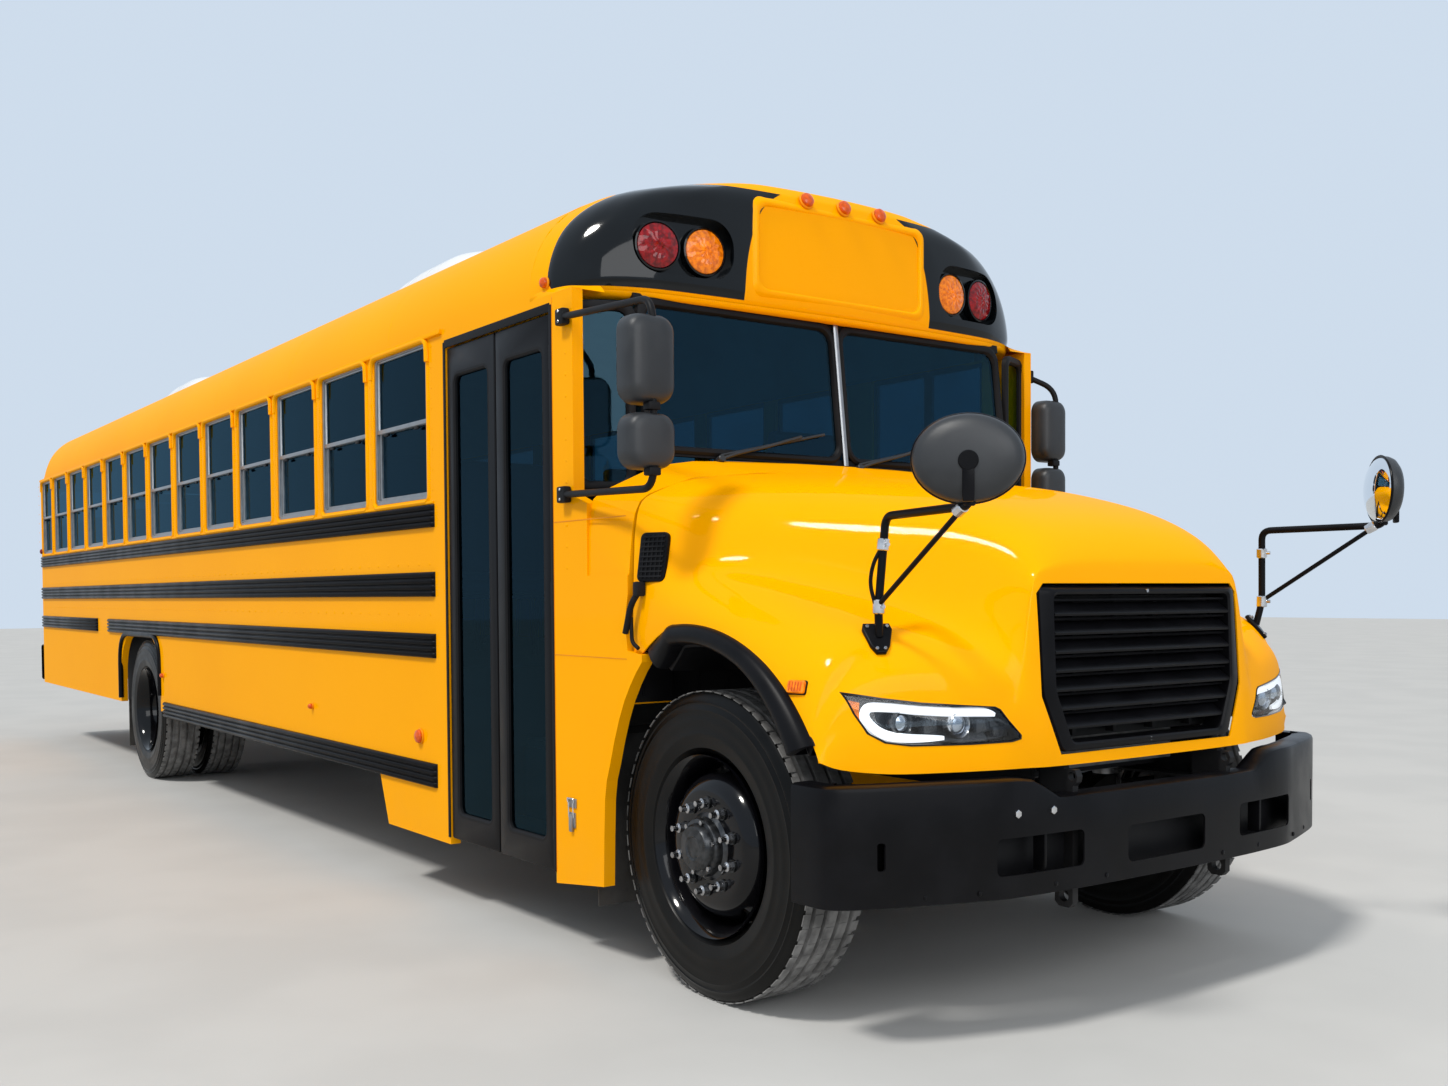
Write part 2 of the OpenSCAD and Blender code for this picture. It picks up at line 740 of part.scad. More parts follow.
module side_mirrors() {
    color(black) placed() {
        resize([0, 0, 0]) side_mirror([-40, 1300], -1, 2275, 1670, 85, 95);
        resize([0, 0, 0]) side_mirror([-640, 1330], 1, 2275, 1670, 95, 65);
    }
}

crossover_base = [655, 966, 1215];
module crossover_mirror() {
    bent_tube([[655, 966, 1222], [668, 955, 1558], [1085, 1042, 1558], [1082, 1040, 1640]], 12, 45);
    bar([660, 962, 1296], [1060, 1036, 1548], 9);
    hull() translate([1077, 1036, 1686]) rotate([0, 0, 45]) scale([0.42, 1, 0.8]) sphere(150, $fn = 24);
    translate([crossover_base.x, crossover_base.y, crossover_base.z - 30]) cylinder(r = 45, h = 44);
}

module crossover_mirrors() {
    color(black) placed() both_sides() resize([0, 0, 0]) crossover_mirror();
}

module wipers() {
    color(black) placed() for (y = [-640, 60])
        bar([-572, y, 1862], [-606, y + 420, 1962], 8);
}

module roof_air_conditioners() {
    color([0.95, 0.96, 0.97]) placed() for (x = [-3420, -8500])
        hull() {
            block([x - 800, -600, 2960 + 34], [x + 620, 600, 3000]);
            block([x - 560, -420, 3175], [x + 380, 420, 3185]);
        }
}

rail_bands = [[1629, 1727], [1328, 1436], [1061, 1167]];
module rub_rails() {
    color(black) placed() both_sides() across(half_w, half_w + 20) {
        for (b = [rail_bands[0], rail_bands[1]]) rect([body_rear + 30, b[0]], [-1893, b[1]]);
        rect([-8121, rail_bands[2][0]], [-1893, rail_bands[2][1]]);
        rect([body_rear + 30, rail_bands[2][0]], [-8518, rail_bands[2][1]]);
        rect([-6453, 497], [-1893, 601]);
    }
}

// ---------------------------------------------------------------- hood

hood_pivot = [900, 0, 770];

// Control net of the hood, cowl to nose: each row runs from the centre line to the lower outer edge.
// Columns: centre, top, shoulder, ridge, side, valley, fender inside, fender crest, fender shoulder, side, lower edge.
hood_net = [
    [[-318, 0, 1786], [-318, 400, 1783], [-318, 760, 1758], [-318, 960, 1733], [-318, 1084, 1694], [-318, 1167, 1648],
     [-318, 1194, 1560], [-318, 1200, 1470], [-318, 1204, 1360], [-318, 1206, 1250], [-318, 1200, 830]],
    [[-110, 0, 1762], [-110, 390, 1758], [-110, 700, 1734], [-110, 890, 1700], [-110, 1010, 1650], [-110, 1085, 1570],
     [-110, 1112, 1470], [-110, 1140, 1405], [-110, 1185, 1330], [-110, 1204, 1230], [-110, 1200, 830]],
    [[110, 0, 1733], [110, 370, 1728], [110, 620, 1703], [110, 780, 1658], [110, 880, 1580], [110, 940, 1470],
     [110, 1000, 1405], [110, 1085, 1375], [110, 1160, 1305], [110, 1196, 1210], [110, 1198, 830]],
    [[350, 0, 1686], [350, 345, 1680], [350, 550, 1652], [350, 670, 1600], [350, 740, 1510], [350, 795, 1390],
     [350, 890, 1335], [350, 1015, 1312], [350, 1120, 1250], [350, 1178, 1150], [350, 1192, 830]],
    [[580, 0, 1625], [580, 325, 1618], [580, 480, 1590], [580, 570, 1535], [580, 620, 1430], [580, 690, 1290],
     [580, 790, 1256], [580, 930, 1244], [580, 1060, 1190], [580, 1150, 1090], [575, 1184, 832]],
    [[750, 0, 1550], [750, 320, 1540], [748, 455, 1512], [742, 525, 1460], [738, 565, 1340], [730, 620, 1205],
     [718, 710, 1185], [690, 860, 1190], [648, 1005, 1150], [612, 1125, 1060], [600, 1180, 836]],
    [[835, 0, 1455], [835, 320, 1450], [834, 450, 1425], [832, 512, 1385], [832, 545, 1250], [826, 590, 1120],
     [812, 675, 1095], [772, 825, 1095], [712, 985, 1085], [645, 1112, 1020], [615, 1176, 838]],
    [[852, 0, 1360], [852, 320, 1358], [851, 460, 1354], [848, 520, 1340], [852, 560, 1150], [848, 600, 1010],
     [834, 680, 990], [788, 835, 990], [724, 995, 985], [652, 1118, 950], [622, 1177, 840]],
    [[872, 0, 1050], [872, 320, 1050], [872, 460, 1048], [870, 520, 1040], [866, 560, 980], [860, 605, 930],
     [843, 685, 925], [795, 838, 925], [730, 998, 925], [656, 1120, 905], [626, 1178, 842]],
    [[885, 0, 801], [886, 320, 802], [887, 460, 804], [885, 520, 805], [878, 560, 806], [868, 605, 806],
     [850, 685, 806], [800, 838, 806], [735, 998, 808], [662, 1120, 822], [631, 1180, 846]],
];

// Catmull-Rom interpolation along a list of points
function pick(list, i) = list[max(0, min(len(list) - 1, i))];
function blend4(a, b, c, d, t) =
    0.5 * (2 * b + (c - a) * t + (2 * a - 5 * b + 4 * c - d) * t * t + (3 * b - a - 3 * c + d) * t * t * t);
function curve_at(list, s) =
    let (i = min(floor(s), len(list) - 2), t = s - i)
        blend4(pick(list, i - 1), list[i], list[i + 1], pick(list, i + 2), t);
function hood_row(v) =
    let (s = v * (len(hood_net) - 1))
        [for (c = [0:len(hood_net[0]) - 1]) curve_at([for (r = hood_net) r[c]], s)];
function hood_half(v) = [for (i = [0:hood_nu]) curve_at(hood_row(v), i * (len(hood_net[0]) - 1) / hood_nu)];
function hood_full(v) =
    let (h = hood_half(v))
        concat([for (i = [hood_nu:-1:1]) [h[i].x, -h[i].y, h[i].z]], h);

// Closed shell between the outer grid and one moved inwards along its normals
module hood_shell() {
    nu = 2 * hood_nu;
    outer = [for (j = [0:hood_nv]) hood_full(j / hood_nv)];
    inner = [for (j = [0:hood_nv]) [for (i = [0:nu])
        let (
            du = outer[j][min(i + 1, nu)] - outer[j][max(i - 1, 0)],
            dv = outer[min(j + 1, hood_nv)][i] - outer[max(j - 1, 0)][i]
        )
        outer[j][i] - hood_t * unit(cross(dv, du))]];
    n = (nu + 1) * (hood_nv + 1);
    function id(j, i) = j * (nu + 1) + i;
    points = concat([for (r = outer) each r], [for (r = inner) each r]);
    faces = concat(
        [for (j = [0:hood_nv - 1], i = [0:nu - 1]) each [
            [id(j, i), id(j + 1, i), id(j + 1, i + 1)], [id(j, i), id(j + 1, i + 1), id(j, i + 1)],
            [n + id(j, i), n + id(j + 1, i + 1), n + id(j + 1, i)], [n + id(j, i), n + id(j, i + 1), n + id(j + 1, i + 1)],
        ]],
        [for (i = [0:nu - 1]) each [
            [id(0, i), id(0, i + 1), n + id(0, i)], [id(0, i + 1), n + id(0, i + 1), n + id(0, i)],
            [id(hood_nv, i + 1), id(hood_nv, i), n + id(hood_nv, i)],
            [id(hood_nv, i + 1), n + id(hood_nv, i), n + id(hood_nv, i + 1)],
        ]],
        [for (j = [0:hood_nv - 1]) each [
            [id(j + 1, 0), id(j, 0), n + id(j, 0)], [id(j + 1, 0), n + id(j, 0), n + id(j + 1, 0)],
            [id(j, nu), id(j + 1, nu), n + id(j, nu)], [id(j + 1, nu), n + id(j + 1, nu), n + id(j, nu)],
        ]]
    );
    polyhedron(points, faces);
}

// Outer edge of the black moulding round the front wheel opening, from its rear end to its front end
flare_centre = [0, 510];
flare_r = 726;
flare_w = 66;
function flare_edge(inset) = concat(
    [[-237 + inset * 0.9, 1150 - inset], [-160 + inset * 0.5, 1194 - inset]],
    [for (a = [98:-8:34]) flare_centre + (flare_r - inset) * [cos(a), sin(a)]],
    [[618 - inset, 888]]
);

// Wheel opening in the hood's side, bounded by the moulding's outer edge
module wheel_opening() {
    polygon(concat([[-420, 700], [-420, 1150]], flare_edge(0), [[628, 700]]));
}

// Headlight housing as one closed form; grow widens it for its pocket in the hood
module headlight_form(grow) {
    hull() for (p = [[672, 1095, 1020], [705, 1080, 915], [808, 645, 980], [830, 610, 905]])
        translate(p) sphere(22 + grow, $fn = 16);
}

module hood() {
    color(yellow) placed() resize([0, 0, 0]) difference() {
        hood_shell();
        for (y0 = [-1400, 1000]) across(y0, y0 + 400) wheel_opening();
        block([600, -grille_half_w, grille_bottom_z], [1100, grille_half_w, grille_top_z]);
        // notch over the hinge lugs
        block([820, -428, 700], [1100, 428, grille_bottom_z + 10]);
        both_sides() {
            headlight_form(3);
            translate([crossover_base.x, crossover_base.y, 1000]) cylinder(r = 50, h = 400);
        }
    }
}

module grille() {
    color(black) placed() {
        w = grille_half_w - 4;
        z0 = grille_bottom_z + 4;
        z1 = grille_top_z - 4;
        difference() {
            across(-w, w) polygon([[820, z0], [887, z0], [868, z1], [820, z1]]);
            block([700, -w + 55, z0 + 34], [1000, w - 55, z1 - 34]);
        }
        for (i = [0:6]) let (z = z0 + 60 + i * 62) block([832, -w + 56, z], [866, w - 56, z + 24]);
        // hinge lugs and pins under the grille
        both_sides() {
            translate([hood_pivot.x, 376, hood_pivot.z]) rotate([-90, 0, 0]) cylinder(r = 13.5, h = 46);
            across(410, 422) polygon([[888, 758], [912, 758], [912, 782], [868, z0 - 1], [846, z0 - 1], [846, 830]]);
        }
    }
}

module headlights() {
    color([0.8, 0.85, 0.9]) placed() both_sides() headlight_form(0);
}

module fender_flares() {
    color(black) placed() both_sides() across(1120, 1210)
        polygon(concat(flare_edge(0.5), reversed(flare_edge(flare_w))));
}

// ---------------------------------------------------------------- doors and stop arm

leaf_z0 = door_z0 + 8;
leaf_z1 = door_z1 - 4;
leaf_y = -half_w + 4;
leaf_w = (door_rear - door_front) / 2 - 12;
leaf_glass = [[64, leaf_z0 + 90], [leaf_w - 58, leaf_z1 - 110]];

// A leaf whose hinge line is at the origin and which runs along +X
module leaf() {
    difference() {
        block([0, 0, leaf_z0], [leaf_w, leaf_t, leaf_z1]);
        block([leaf_glass[0].x, -10, leaf_glass[0].y], [leaf_glass[1].x, leaf_t + 10, leaf_glass[1].y]);
    }
    block([leaf_glass[0].x, 14, leaf_glass[0].y], [leaf_glass[1].x, 20, leaf_glass[1].y]);
    cylinder_from(leaf_z0, leaf_z1, 4);
}

module cylinder_from(z0, z1, r) {
    translate([0, 0, z0]) cylinder(r = r, h = z1 - z0);
}

module entry_door_front() {
    color(black) placed() translate([-door_front - 8, leaf_y, 0]) mirror([1, 0, 0]) leaf();
}

module entry_door_rear() {
    color(black) placed() translate([-door_rear + 8, leaf_y, 0]) leaf();
}

rear_hinge = [body_rear - 14, -482];
module rear_door() {
    color(yellow) placed() {
        difference() {
            along(body_rear - 8, body_rear + 32)
                rect([-door_opening_half + 8, rear_door_z[0] + 8], [door_opening_half - 8, rear_door_z[1] - 8]);
            for (z = [[1740, 2300], [1080, 1560]]) block([body_rear - 50, -400, z[0]], [body_rear + 50, 400, z[1]]);
        }
        for (z = [[1740, 2300], [1080, 1560]]) block([body_rear + 8, -400, z[0]], [body_rear + 14, 400, z[1]]);
        for (z = [1100, 1640, 2180]) translate([rear_hinge.x, rear_hinge.y, z]) cylinder(r = 10, h = 90);
    }
}

stop_arm_hinge = [-1850, half_w + 34, 1550];
module stop_arm() {
    color(red) placed() translate(stop_arm_hinge) {
        translate([-240, 0, 0]) rotate([-90, 0, 0]) rotate([0, 0, 22.5]) cylinder(r = 240, h = 6, $fn = 8);
        cylinder_from(-80, 80, 6);
    }
}

// ---------------------------------------------------------------- wheels

// Half outline of a tyre, from its bore to its tread, in (radius, offset)
module tyre_outline() {
    w = tyre_w / 2;
    polygon([
        [292, -w + 40], [301.5, -w + 32], [303, -w + 14], [340, -w + 4], [400, -w], [450, -w + 6], [484, -w + 20], [500, -w + 38],
        [tyre_r, -w + 60], [tyre_r, w - 60], [500, w - 38], [484, w - 20], [450, w - 6], [400, w], [340, w - 4],
        [303, w - 14], [301.5, w - 32], [292, w - 40],
    ]);
}

module tyre(y) {
    color(black) translate([0, y, axle_z]) rotate([90, 0, 0]) rotate_extrude() tyre_outline();
}

// Disc wheel, dished so that its flat middle lies disc_offset to one side; side is +1 or -1
disc_offset = 165;
disc_t = 12;
module disc_wheel(y, side) {
    translate([0, y, axle_z]) rotate([-90 * side, 0, 0]) difference() {
        rotate_extrude() {
            polygon([
                [276, -118], [300, -118], [300, -106], [291.5, -100], [291.5, 100], [300, 106], [300, 118],
                [276, 118],
            ]);
            polygon([
                [277, 52], [262, 100], [228, 140], [182, disc_offset], [100, disc_offset],
                [100, disc_offset - disc_t], [176, disc_offset - disc_t], [218, 126], [250, 90], [270, 48], [277, 30],
            ]);
        }
        for (a = [0:72:359]) rotate([0, 0, a]) translate([222, 0, 0]) cylinder(r = 27, h = 200);
    }
}

// Hub through the discs: drum at its inner end, wheel nuts on the mounting face
module hub(y0, face, y1, drum_y1, bore) {
    translate([0, 0, axle_z]) rotate([-90, 0, 0]) {
        difference() {
            union() {
                translate([0, 0, y0]) cylinder(r = 101, h = face + 6 - y0);
                translate([0, 0, y0]) cylinder(r = 205, h = drum_y1 - y0);
                translate([0, 0, face]) cylinder(r = 78, h = y1 - face);
            }
            translate([0, 0, y0 - 10]) cylinder(r = bore, h = y1 - y0 - 10);
        }
        for (a = [18:36:359]) rotate([0, 0, a]) translate([143, 0, face - 1]) cylinder(r = 19, h = 30, $fn = 6);
    }
}

module wheel_front_left() {
    color(black) placed() {
        disc_wheel(front_track_half, 1);
        hub(946, front_track_half + disc_offset, 1213, 1060, 40);
    }
}

module wheel_front_right() {
    mirror([0, 1, 0]) wheel_front_left();
}

module rear_wheel() {
    disc_wheel(rear_outer_half, -1);
    disc_wheel(rear_outer_half - twin_pitch, 1);
    hub(640, rear_outer_half - disc_offset + disc_t, 1010, 780, 45);
}

module wheel_rear_left() {
    color(black) placed() translate([rear_axle_x, 0, 0]) rear_wheel();
}

module wheel_rear_right() {
    mirror([0, 1, 0]) wheel_rear_left();
}

module tyre_front_left() {
    placed() tyre(front_track_half);
}

module tyre_front_right() {
    placed() tyre(-front_track_half);
}

module tyre_rear_left() {
    placed() translate([rear_axle_x, 0, 0]) {
        tyre(rear_outer_half);
        tyre(rear_outer_half - twin_pitch);
    }
}

module tyre_rear_right() {
    mirror([0, 1, 0]) tyre_rear_left();
}

module knuckle_left() {
    color(steel) placed() {
        translate([0, kingpin_y, 400]) cylinder(r = 21.95, h = 220);
        translate([0, kingpin_y, 586]) cylinder(r = 48, h = 40);
        translate([0, kingpin_y, 384]) cylinder(r = 48, h = 40);
        translate([0, kingpin_y + 52, axle_z]) rotate([-90, 0, 0]) cylinder(r = 39.95, h = 250);
        block([-40, kingpin_y + 20, 384], [40, kingpin_y + 60, 424]);
        block([-40, kingpin_y + 20, 586], [40, kingpin_y + 60, 626]);
        block([-40, kingpin_y + 52, 384], [40, kingpin_y + 60, 626]);
    }
}

module knuckle_right() {
    mirror([0, 1, 0]) knuckle_left();
}

// ---------------------------------------------------------------- nodes

chassis_frame();
front_axle();
rear_axle();
engine();
exhaust();
fuel_tank();
floor();
wheel_housings();
entry_steps();
side_panels();
body_posts();
roof();
roof_caps();
rear_wall();
cowl();
windshield_frame();
window_sashes();
window_glass();
rub_rails();
roof_air_conditioners();
bumpers();
exterior_lamps();
side_mirrors();
wipers();
mud_flaps();
seats();
dashboard();
steering_wheel();
hood();
grille();
headlights();
crossover_mirrors();
fender_flares();
entry_door_front();
entry_door_rear();
rear_door();
stop_arm();
knuckle_right();
knuckle_left();
tyre_front_right();
tyre_front_left();
tyre_rear_right();
tyre_rear_left();
wheel_front_right();
wheel_front_left();
wheel_rear_right();
wheel_rear_left();
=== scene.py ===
"""School bus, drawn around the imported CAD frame. X points forward, Y to the bus's left, Z up, in metres.

Coordinates inside the builders are measured from the front axle; Piece.done() moves them by AXLE_X.
"""

import math

import bmesh
import bpy
from mathutils import Matrix, Vector
from mathutils.bvhtree import BVHTree


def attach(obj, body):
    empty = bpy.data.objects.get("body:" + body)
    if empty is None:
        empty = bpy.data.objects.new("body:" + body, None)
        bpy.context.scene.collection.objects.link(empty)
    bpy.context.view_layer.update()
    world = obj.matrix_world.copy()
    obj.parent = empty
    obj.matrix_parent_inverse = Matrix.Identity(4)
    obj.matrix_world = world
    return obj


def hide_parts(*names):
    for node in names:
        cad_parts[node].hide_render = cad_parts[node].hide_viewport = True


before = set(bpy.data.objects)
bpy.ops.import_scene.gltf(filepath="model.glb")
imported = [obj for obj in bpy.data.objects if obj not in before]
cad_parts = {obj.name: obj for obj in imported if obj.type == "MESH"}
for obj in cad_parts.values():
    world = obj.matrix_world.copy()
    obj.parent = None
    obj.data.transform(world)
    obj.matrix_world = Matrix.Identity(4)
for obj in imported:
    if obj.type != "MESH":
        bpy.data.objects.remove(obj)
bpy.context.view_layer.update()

AXLE_X = 4.934
HALF_W = 1.219
WHEEL_R = 0.508
REAR_AXLE = -7.08
FRONT_TRACK = 1.005
REAR_TRACKS = (1.062, 0.732)
SHEET = 0.006
SIDES = (-1, 1)
SIDE_NAMES = ((-1, "right"), (1, "left"))
ORIGIN = (0, 0, 0)


# ---------------------------------------------------------------- materials


def link(tree, a, b):
    tree.links.new(a, b)


def noise_node(tree, coord, scale, detail=4.0, stretch=None):
    noise = tree.nodes.new("ShaderNodeTexNoise")
    noise.inputs["Scale"].default_value = scale
    noise.inputs["Detail"].default_value = detail
    source = coord.outputs["Object"]
    if stretch:
        mapping = tree.nodes.new("ShaderNodeMapping")
        mapping.inputs["Scale"].default_value = stretch
        link(tree, source, mapping.inputs["Vector"])
        source = mapping.outputs["Vector"]
    link(tree, source, noise.inputs["Vector"])
    return noise


def map_range(tree, value, a, b, c, d):
    node = tree.nodes.new("ShaderNodeMapRange")
    node.interpolation_type = "SMOOTHSTEP"
    for key, number in (("From Min", a), ("From Max", b), ("To Min", c), ("To Max", d)):
        node.inputs[key].default_value = number
    link(tree, value, node.inputs["Value"])
    return node.outputs["Result"]


def mix_colour(tree, factor, a, b):
    node = tree.nodes.new("ShaderNodeMix")
    node.data_type = "RGBA"
    link(tree, factor, node.inputs["Factor"])
    for key, value in ((6, a), (7, b)):
        if isinstance(value, tuple):
            node.inputs[key].default_value = (*value, 1)
        else:
            link(tree, value, node.inputs[key])
    return node.outputs[2]


def shade(colour, gain):
    """The colour made lighter or darker."""
    return tuple(min(1.0, c * gain) for c in colour)


def material(name, colour, rough, metal=0.0, coat=0.0, specular=0.5, mottle=0.05, scale=4.0,
        rough_spread=0.05, bump=0.0, grain=300.0, stretch=None, dust=None, glow=0.0):
    """A procedural surface: colour and roughness that vary gently, fine relief, and dust from below.

    dust is (colour, height where it ends, strength).
    """
    made = bpy.data.materials.new(name)
    made.use_nodes = True
    tree = made.node_tree
    shader = tree.nodes["Principled BSDF"]
    coord = tree.nodes.new("ShaderNodeTexCoord")
    broad = noise_node(tree, coord, scale)
    spread = map_range(tree, broad.outputs["Fac"], 0.35, 0.65, 0.0, 1.0)
    base = mix_colour(tree, spread, shade(colour, 1 - mottle), shade(colour, 1 + mottle))
    if dust:
        tint, top, strength = dust
        split = tree.nodes.new("ShaderNodeSeparateXYZ")
        link(tree, coord.outputs["Object"], split.inputs["Vector"])
        rise = map_range(tree, split.outputs["Z"], 0.0, top, strength, 0.0)
        patch = map_range(tree, noise_node(tree, coord, 9.0, 8.0).outputs["Fac"], 0.3, 0.7, 0.4, 1.0)
        amount = tree.nodes.new("ShaderNodeMath")
        amount.operation = "MULTIPLY"
        link(tree, rise, amount.inputs[0])
        link(tree, patch, amount.inputs[1])
        base = mix_colour(tree, amount.outputs[0], base, tint)
    link(tree, base, shader.inputs["Base Color"])
    link(tree, map_range(tree, broad.outputs["Fac"], 0.3, 0.7, max(0.0, rough - rough_spread),
        rough + rough_spread), shader.inputs["Roughness"])
    shader.inputs["Metallic"].default_value = metal
    shader.inputs["Coat Weight"].default_value = coat
    shader.inputs["Coat Roughness"].default_value = 0.04
    shader.inputs["Specular IOR Level"].default_value = specular
    if bump:
        fine = noise_node(tree, coord, grain, 6.0, stretch)
        relief = tree.nodes.new("ShaderNodeBump")
        relief.inputs["Strength"].default_value = bump
        relief.inputs["Distance"].default_value = 0.002
        link(tree, fine.outputs["Fac"], relief.inputs["Height"])
        link(tree, relief.outputs["Normal"], shader.inputs["Normal"])
    if glow:
        link(tree, base, shader.inputs["Emission Color"])
        shader.inputs["Emission Strength"].default_value = glow
    return made


def clear_material(name, tint, glare=0.5, haze=0.03, sheen=(0.3, 0.62, 0.85)):
    """Window glass: a tint over what is behind, and a mirror that grows at a glancing angle."""
    made = bpy.data.materials.new(name)
    made.use_nodes = True
    tree = made.node_tree
    tree.nodes.remove(tree.nodes["Principled BSDF"])
    out = tree.nodes["Material Output"]
    coord = tree.nodes.new("ShaderNodeTexCoord")
    film = map_range(tree, noise_node(tree, coord, 2.5).outputs["Fac"], 0.3, 0.7, 0.0, 1.0)
    through = tree.nodes.new("ShaderNodeBsdfTransparent")
    link(tree, mix_colour(tree, film, shade(tint, 0.92), shade(tint, 1.05)), through.inputs["Color"])
    mirror = tree.nodes.new("ShaderNodeBsdfGlossy")
    mirror.inputs["Roughness"].default_value = haze
    mirror.inputs["Color"].default_value = (*sheen, 1)
    facing = tree.nodes.new("ShaderNodeLayerWeight")
    facing.inputs["Blend"].default_value = 0.5
    slant = tree.nodes.new("ShaderNodeMath")
    slant.operation = "POWER"
    link(tree, facing.outputs["Facing"], slant.inputs[0])
    slant.inputs[1].default_value = 4.0
    share = map_range(tree, slant.outputs[0], 0.0, 1.0, 0.035, glare)
    mix = tree.nodes.new("ShaderNodeMixShader")
    link(tree, share, mix.inputs["Fac"])
    link(tree, through.outputs["BSDF"], mix.inputs[1])
    link(tree, mirror.outputs["BSDF"], mix.inputs[2])
    link(tree, mix.outputs["Shader"], out.inputs["Surface"])
    return made


ROAD_DUST = (0.3, 0.27, 0.23)
YELLOW = material("yellow_paint", (1.0, 0.405, 0.0), 0.36, coat=0.14, specular=0.0, mottle=0.02, scale=0.8,
    bump=0.012, grain=900.0, dust=((0.62, 0.36, 0.1), 0.7, 0.1))
YELLOW_DEEP = material("yellow_paint_edge", (0.8, 0.27, 0.002), 0.42, coat=0.1, specular=0.1, mottle=0.05,
    scale=6.0)
RED = material("red_paint", (0.62, 0.02, 0.02), 0.35, coat=0.2, specular=0.1)
GLOSS_BLACK = material("gloss_black", (0.002, 0.003, 0.004), 0.12, coat=0.45, specular=0.1, mottle=0.2,
    rough_spread=0.03)
WHEEL_BLACK = material("wheel_black", (0.002, 0.002, 0.003), 0.16, coat=0.4, specular=0.1, mottle=0.25,
    scale=9.0, dust=(ROAD_DUST, 0.6, 0.012))
SATIN_BLACK = material("satin_black", (0.004, 0.004, 0.005), 0.34, specular=0.1, mottle=0.2, scale=6.0,
    bump=0.05, grain=700.0, dust=(ROAD_DUST, 0.9, 0.012))
MATT_BLACK = material("matt_black", (0.006, 0.006, 0.007), 0.5, specular=0.15, mottle=0.2, bump=0.1,
    grain=900.0)
PLASTIC_BLACK = material("plastic_black", (0.022, 0.024, 0.027), 0.4, specular=0.4, mottle=0.15, scale=8.0,
    bump=0.16, grain=1400.0)
RUBBER = material("black_rubber", (0.007, 0.007, 0.008), 0.6, specular=0.15, mottle=0.2, bump=0.1,
    grain=500.0)
FLAP_RUBBER = material("flap_rubber", (0.03, 0.03, 0.031), 0.75, specular=0.2, mottle=0.3, scale=7.0,
    bump=0.3, grain=160.0, dust=(ROAD_DUST, 0.9, 0.2))
TYRE = material("tyre_sidewall", (0.0025, 0.0025, 0.0025), 0.34, specular=0.14, mottle=0.25, scale=10.0,
    bump=0.08, grain=420.0, dust=(ROAD_DUST, 0.9, 0.01))
# Tread rubber in a light grey, far lighter than the sidewall: painted light where sun falls on the tread.
LIT_TREAD = material("tyre_tread_painted_light", (0.17, 0.168, 0.166), 0.82, specular=0.2, mottle=0.3, scale=18.0, bump=0.5,
    grain=240.0)
GROOVE = material("tyre_groove", (0.004, 0.004, 0.004), 0.8, mottle=0.3)
CHASSIS = material("chassis_black", (0.008, 0.008, 0.009), 0.55, specular=0.2, mottle=0.35, scale=5.0,
    bump=0.15, grain=240.0, dust=(ROAD_DUST, 1.0, 0.05))
STEEL = material("dull_steel", (0.3, 0.3, 0.31), 0.42, metal=0.9, mottle=0.25, scale=14.0, bump=0.1,
    grain=300.0)
BRIGHT = material("bright_steel", (0.62, 0.62, 0.63), 0.22, metal=1.0, mottle=0.12, scale=30.0)
NUT_STEEL = material("nut_steel", (0.38, 0.38, 0.39), 0.26, metal=1.0, mottle=0.3, scale=60.0)
HUB_STEEL = material("hub_steel", (0.055, 0.057, 0.06), 0.32, metal=0.9, mottle=0.3, scale=40.0, bump=0.12)
EXHAUST = material("exhaust_steel", (0.36, 0.32, 0.28), 0.5, metal=0.8, mottle=0.3, scale=8.0, bump=0.1)
ENGINE = material("engine_grey", (0.15, 0.155, 0.16), 0.6, mottle=0.3, scale=12.0, bump=0.3, grain=90.0)
ALUMINIUM = material("window_aluminium", (0.3, 0.31, 0.32), 0.34, metal=0.85, mottle=0.08, scale=20.0,
    bump=0.05, grain=500.0, stretch=(0.05, 1.0, 1.0))
WHITE = material("white_cover", (0.82, 0.84, 0.86), 0.28, coat=0.3, mottle=0.02)
GREY_PANEL = material("grey_panel", (0.3, 0.34, 0.38), 0.4, mottle=0.08)
FLOOR = material("floor_rubber", (0.03, 0.031, 0.033), 0.6, mottle=0.3, bump=0.4, grain=120.0,
    stretch=(0.1, 6.0, 1.0))
LINING = material("cabin_lining", (0.42, 0.43, 0.42), 0.55, mottle=0.05)
VINYL = material("seat_vinyl", (0.018, 0.03, 0.06), 0.38, mottle=0.12, scale=7.0, bump=0.35, grain=420.0)
DASH = material("dash_plastic", (0.03, 0.031, 0.034), 0.55, mottle=0.1, bump=0.25, grain=800.0)
# The glow on these amber and red lenses stands for light thrown back by the reflectors behind them: a
# painted glint, the lamps are not lit.
AMBER = material("amber_lens", (0.95, 0.2, 0.002), 0.14, coat=0.25, specular=0.3, mottle=0.3, scale=60.0,
    glow=0.1)
AMBER_DEEP = material("amber_marker", (0.62, 0.085, 0.002), 0.2, coat=0.2, specular=0.3, mottle=0.15,
    scale=70.0, glow=0.03)
RED_LENS = material("red_lens", (0.2, 0.001, 0.003), 0.12, coat=0.25, specular=0.3, mottle=0.45, scale=60.0,
    glow=0.06)
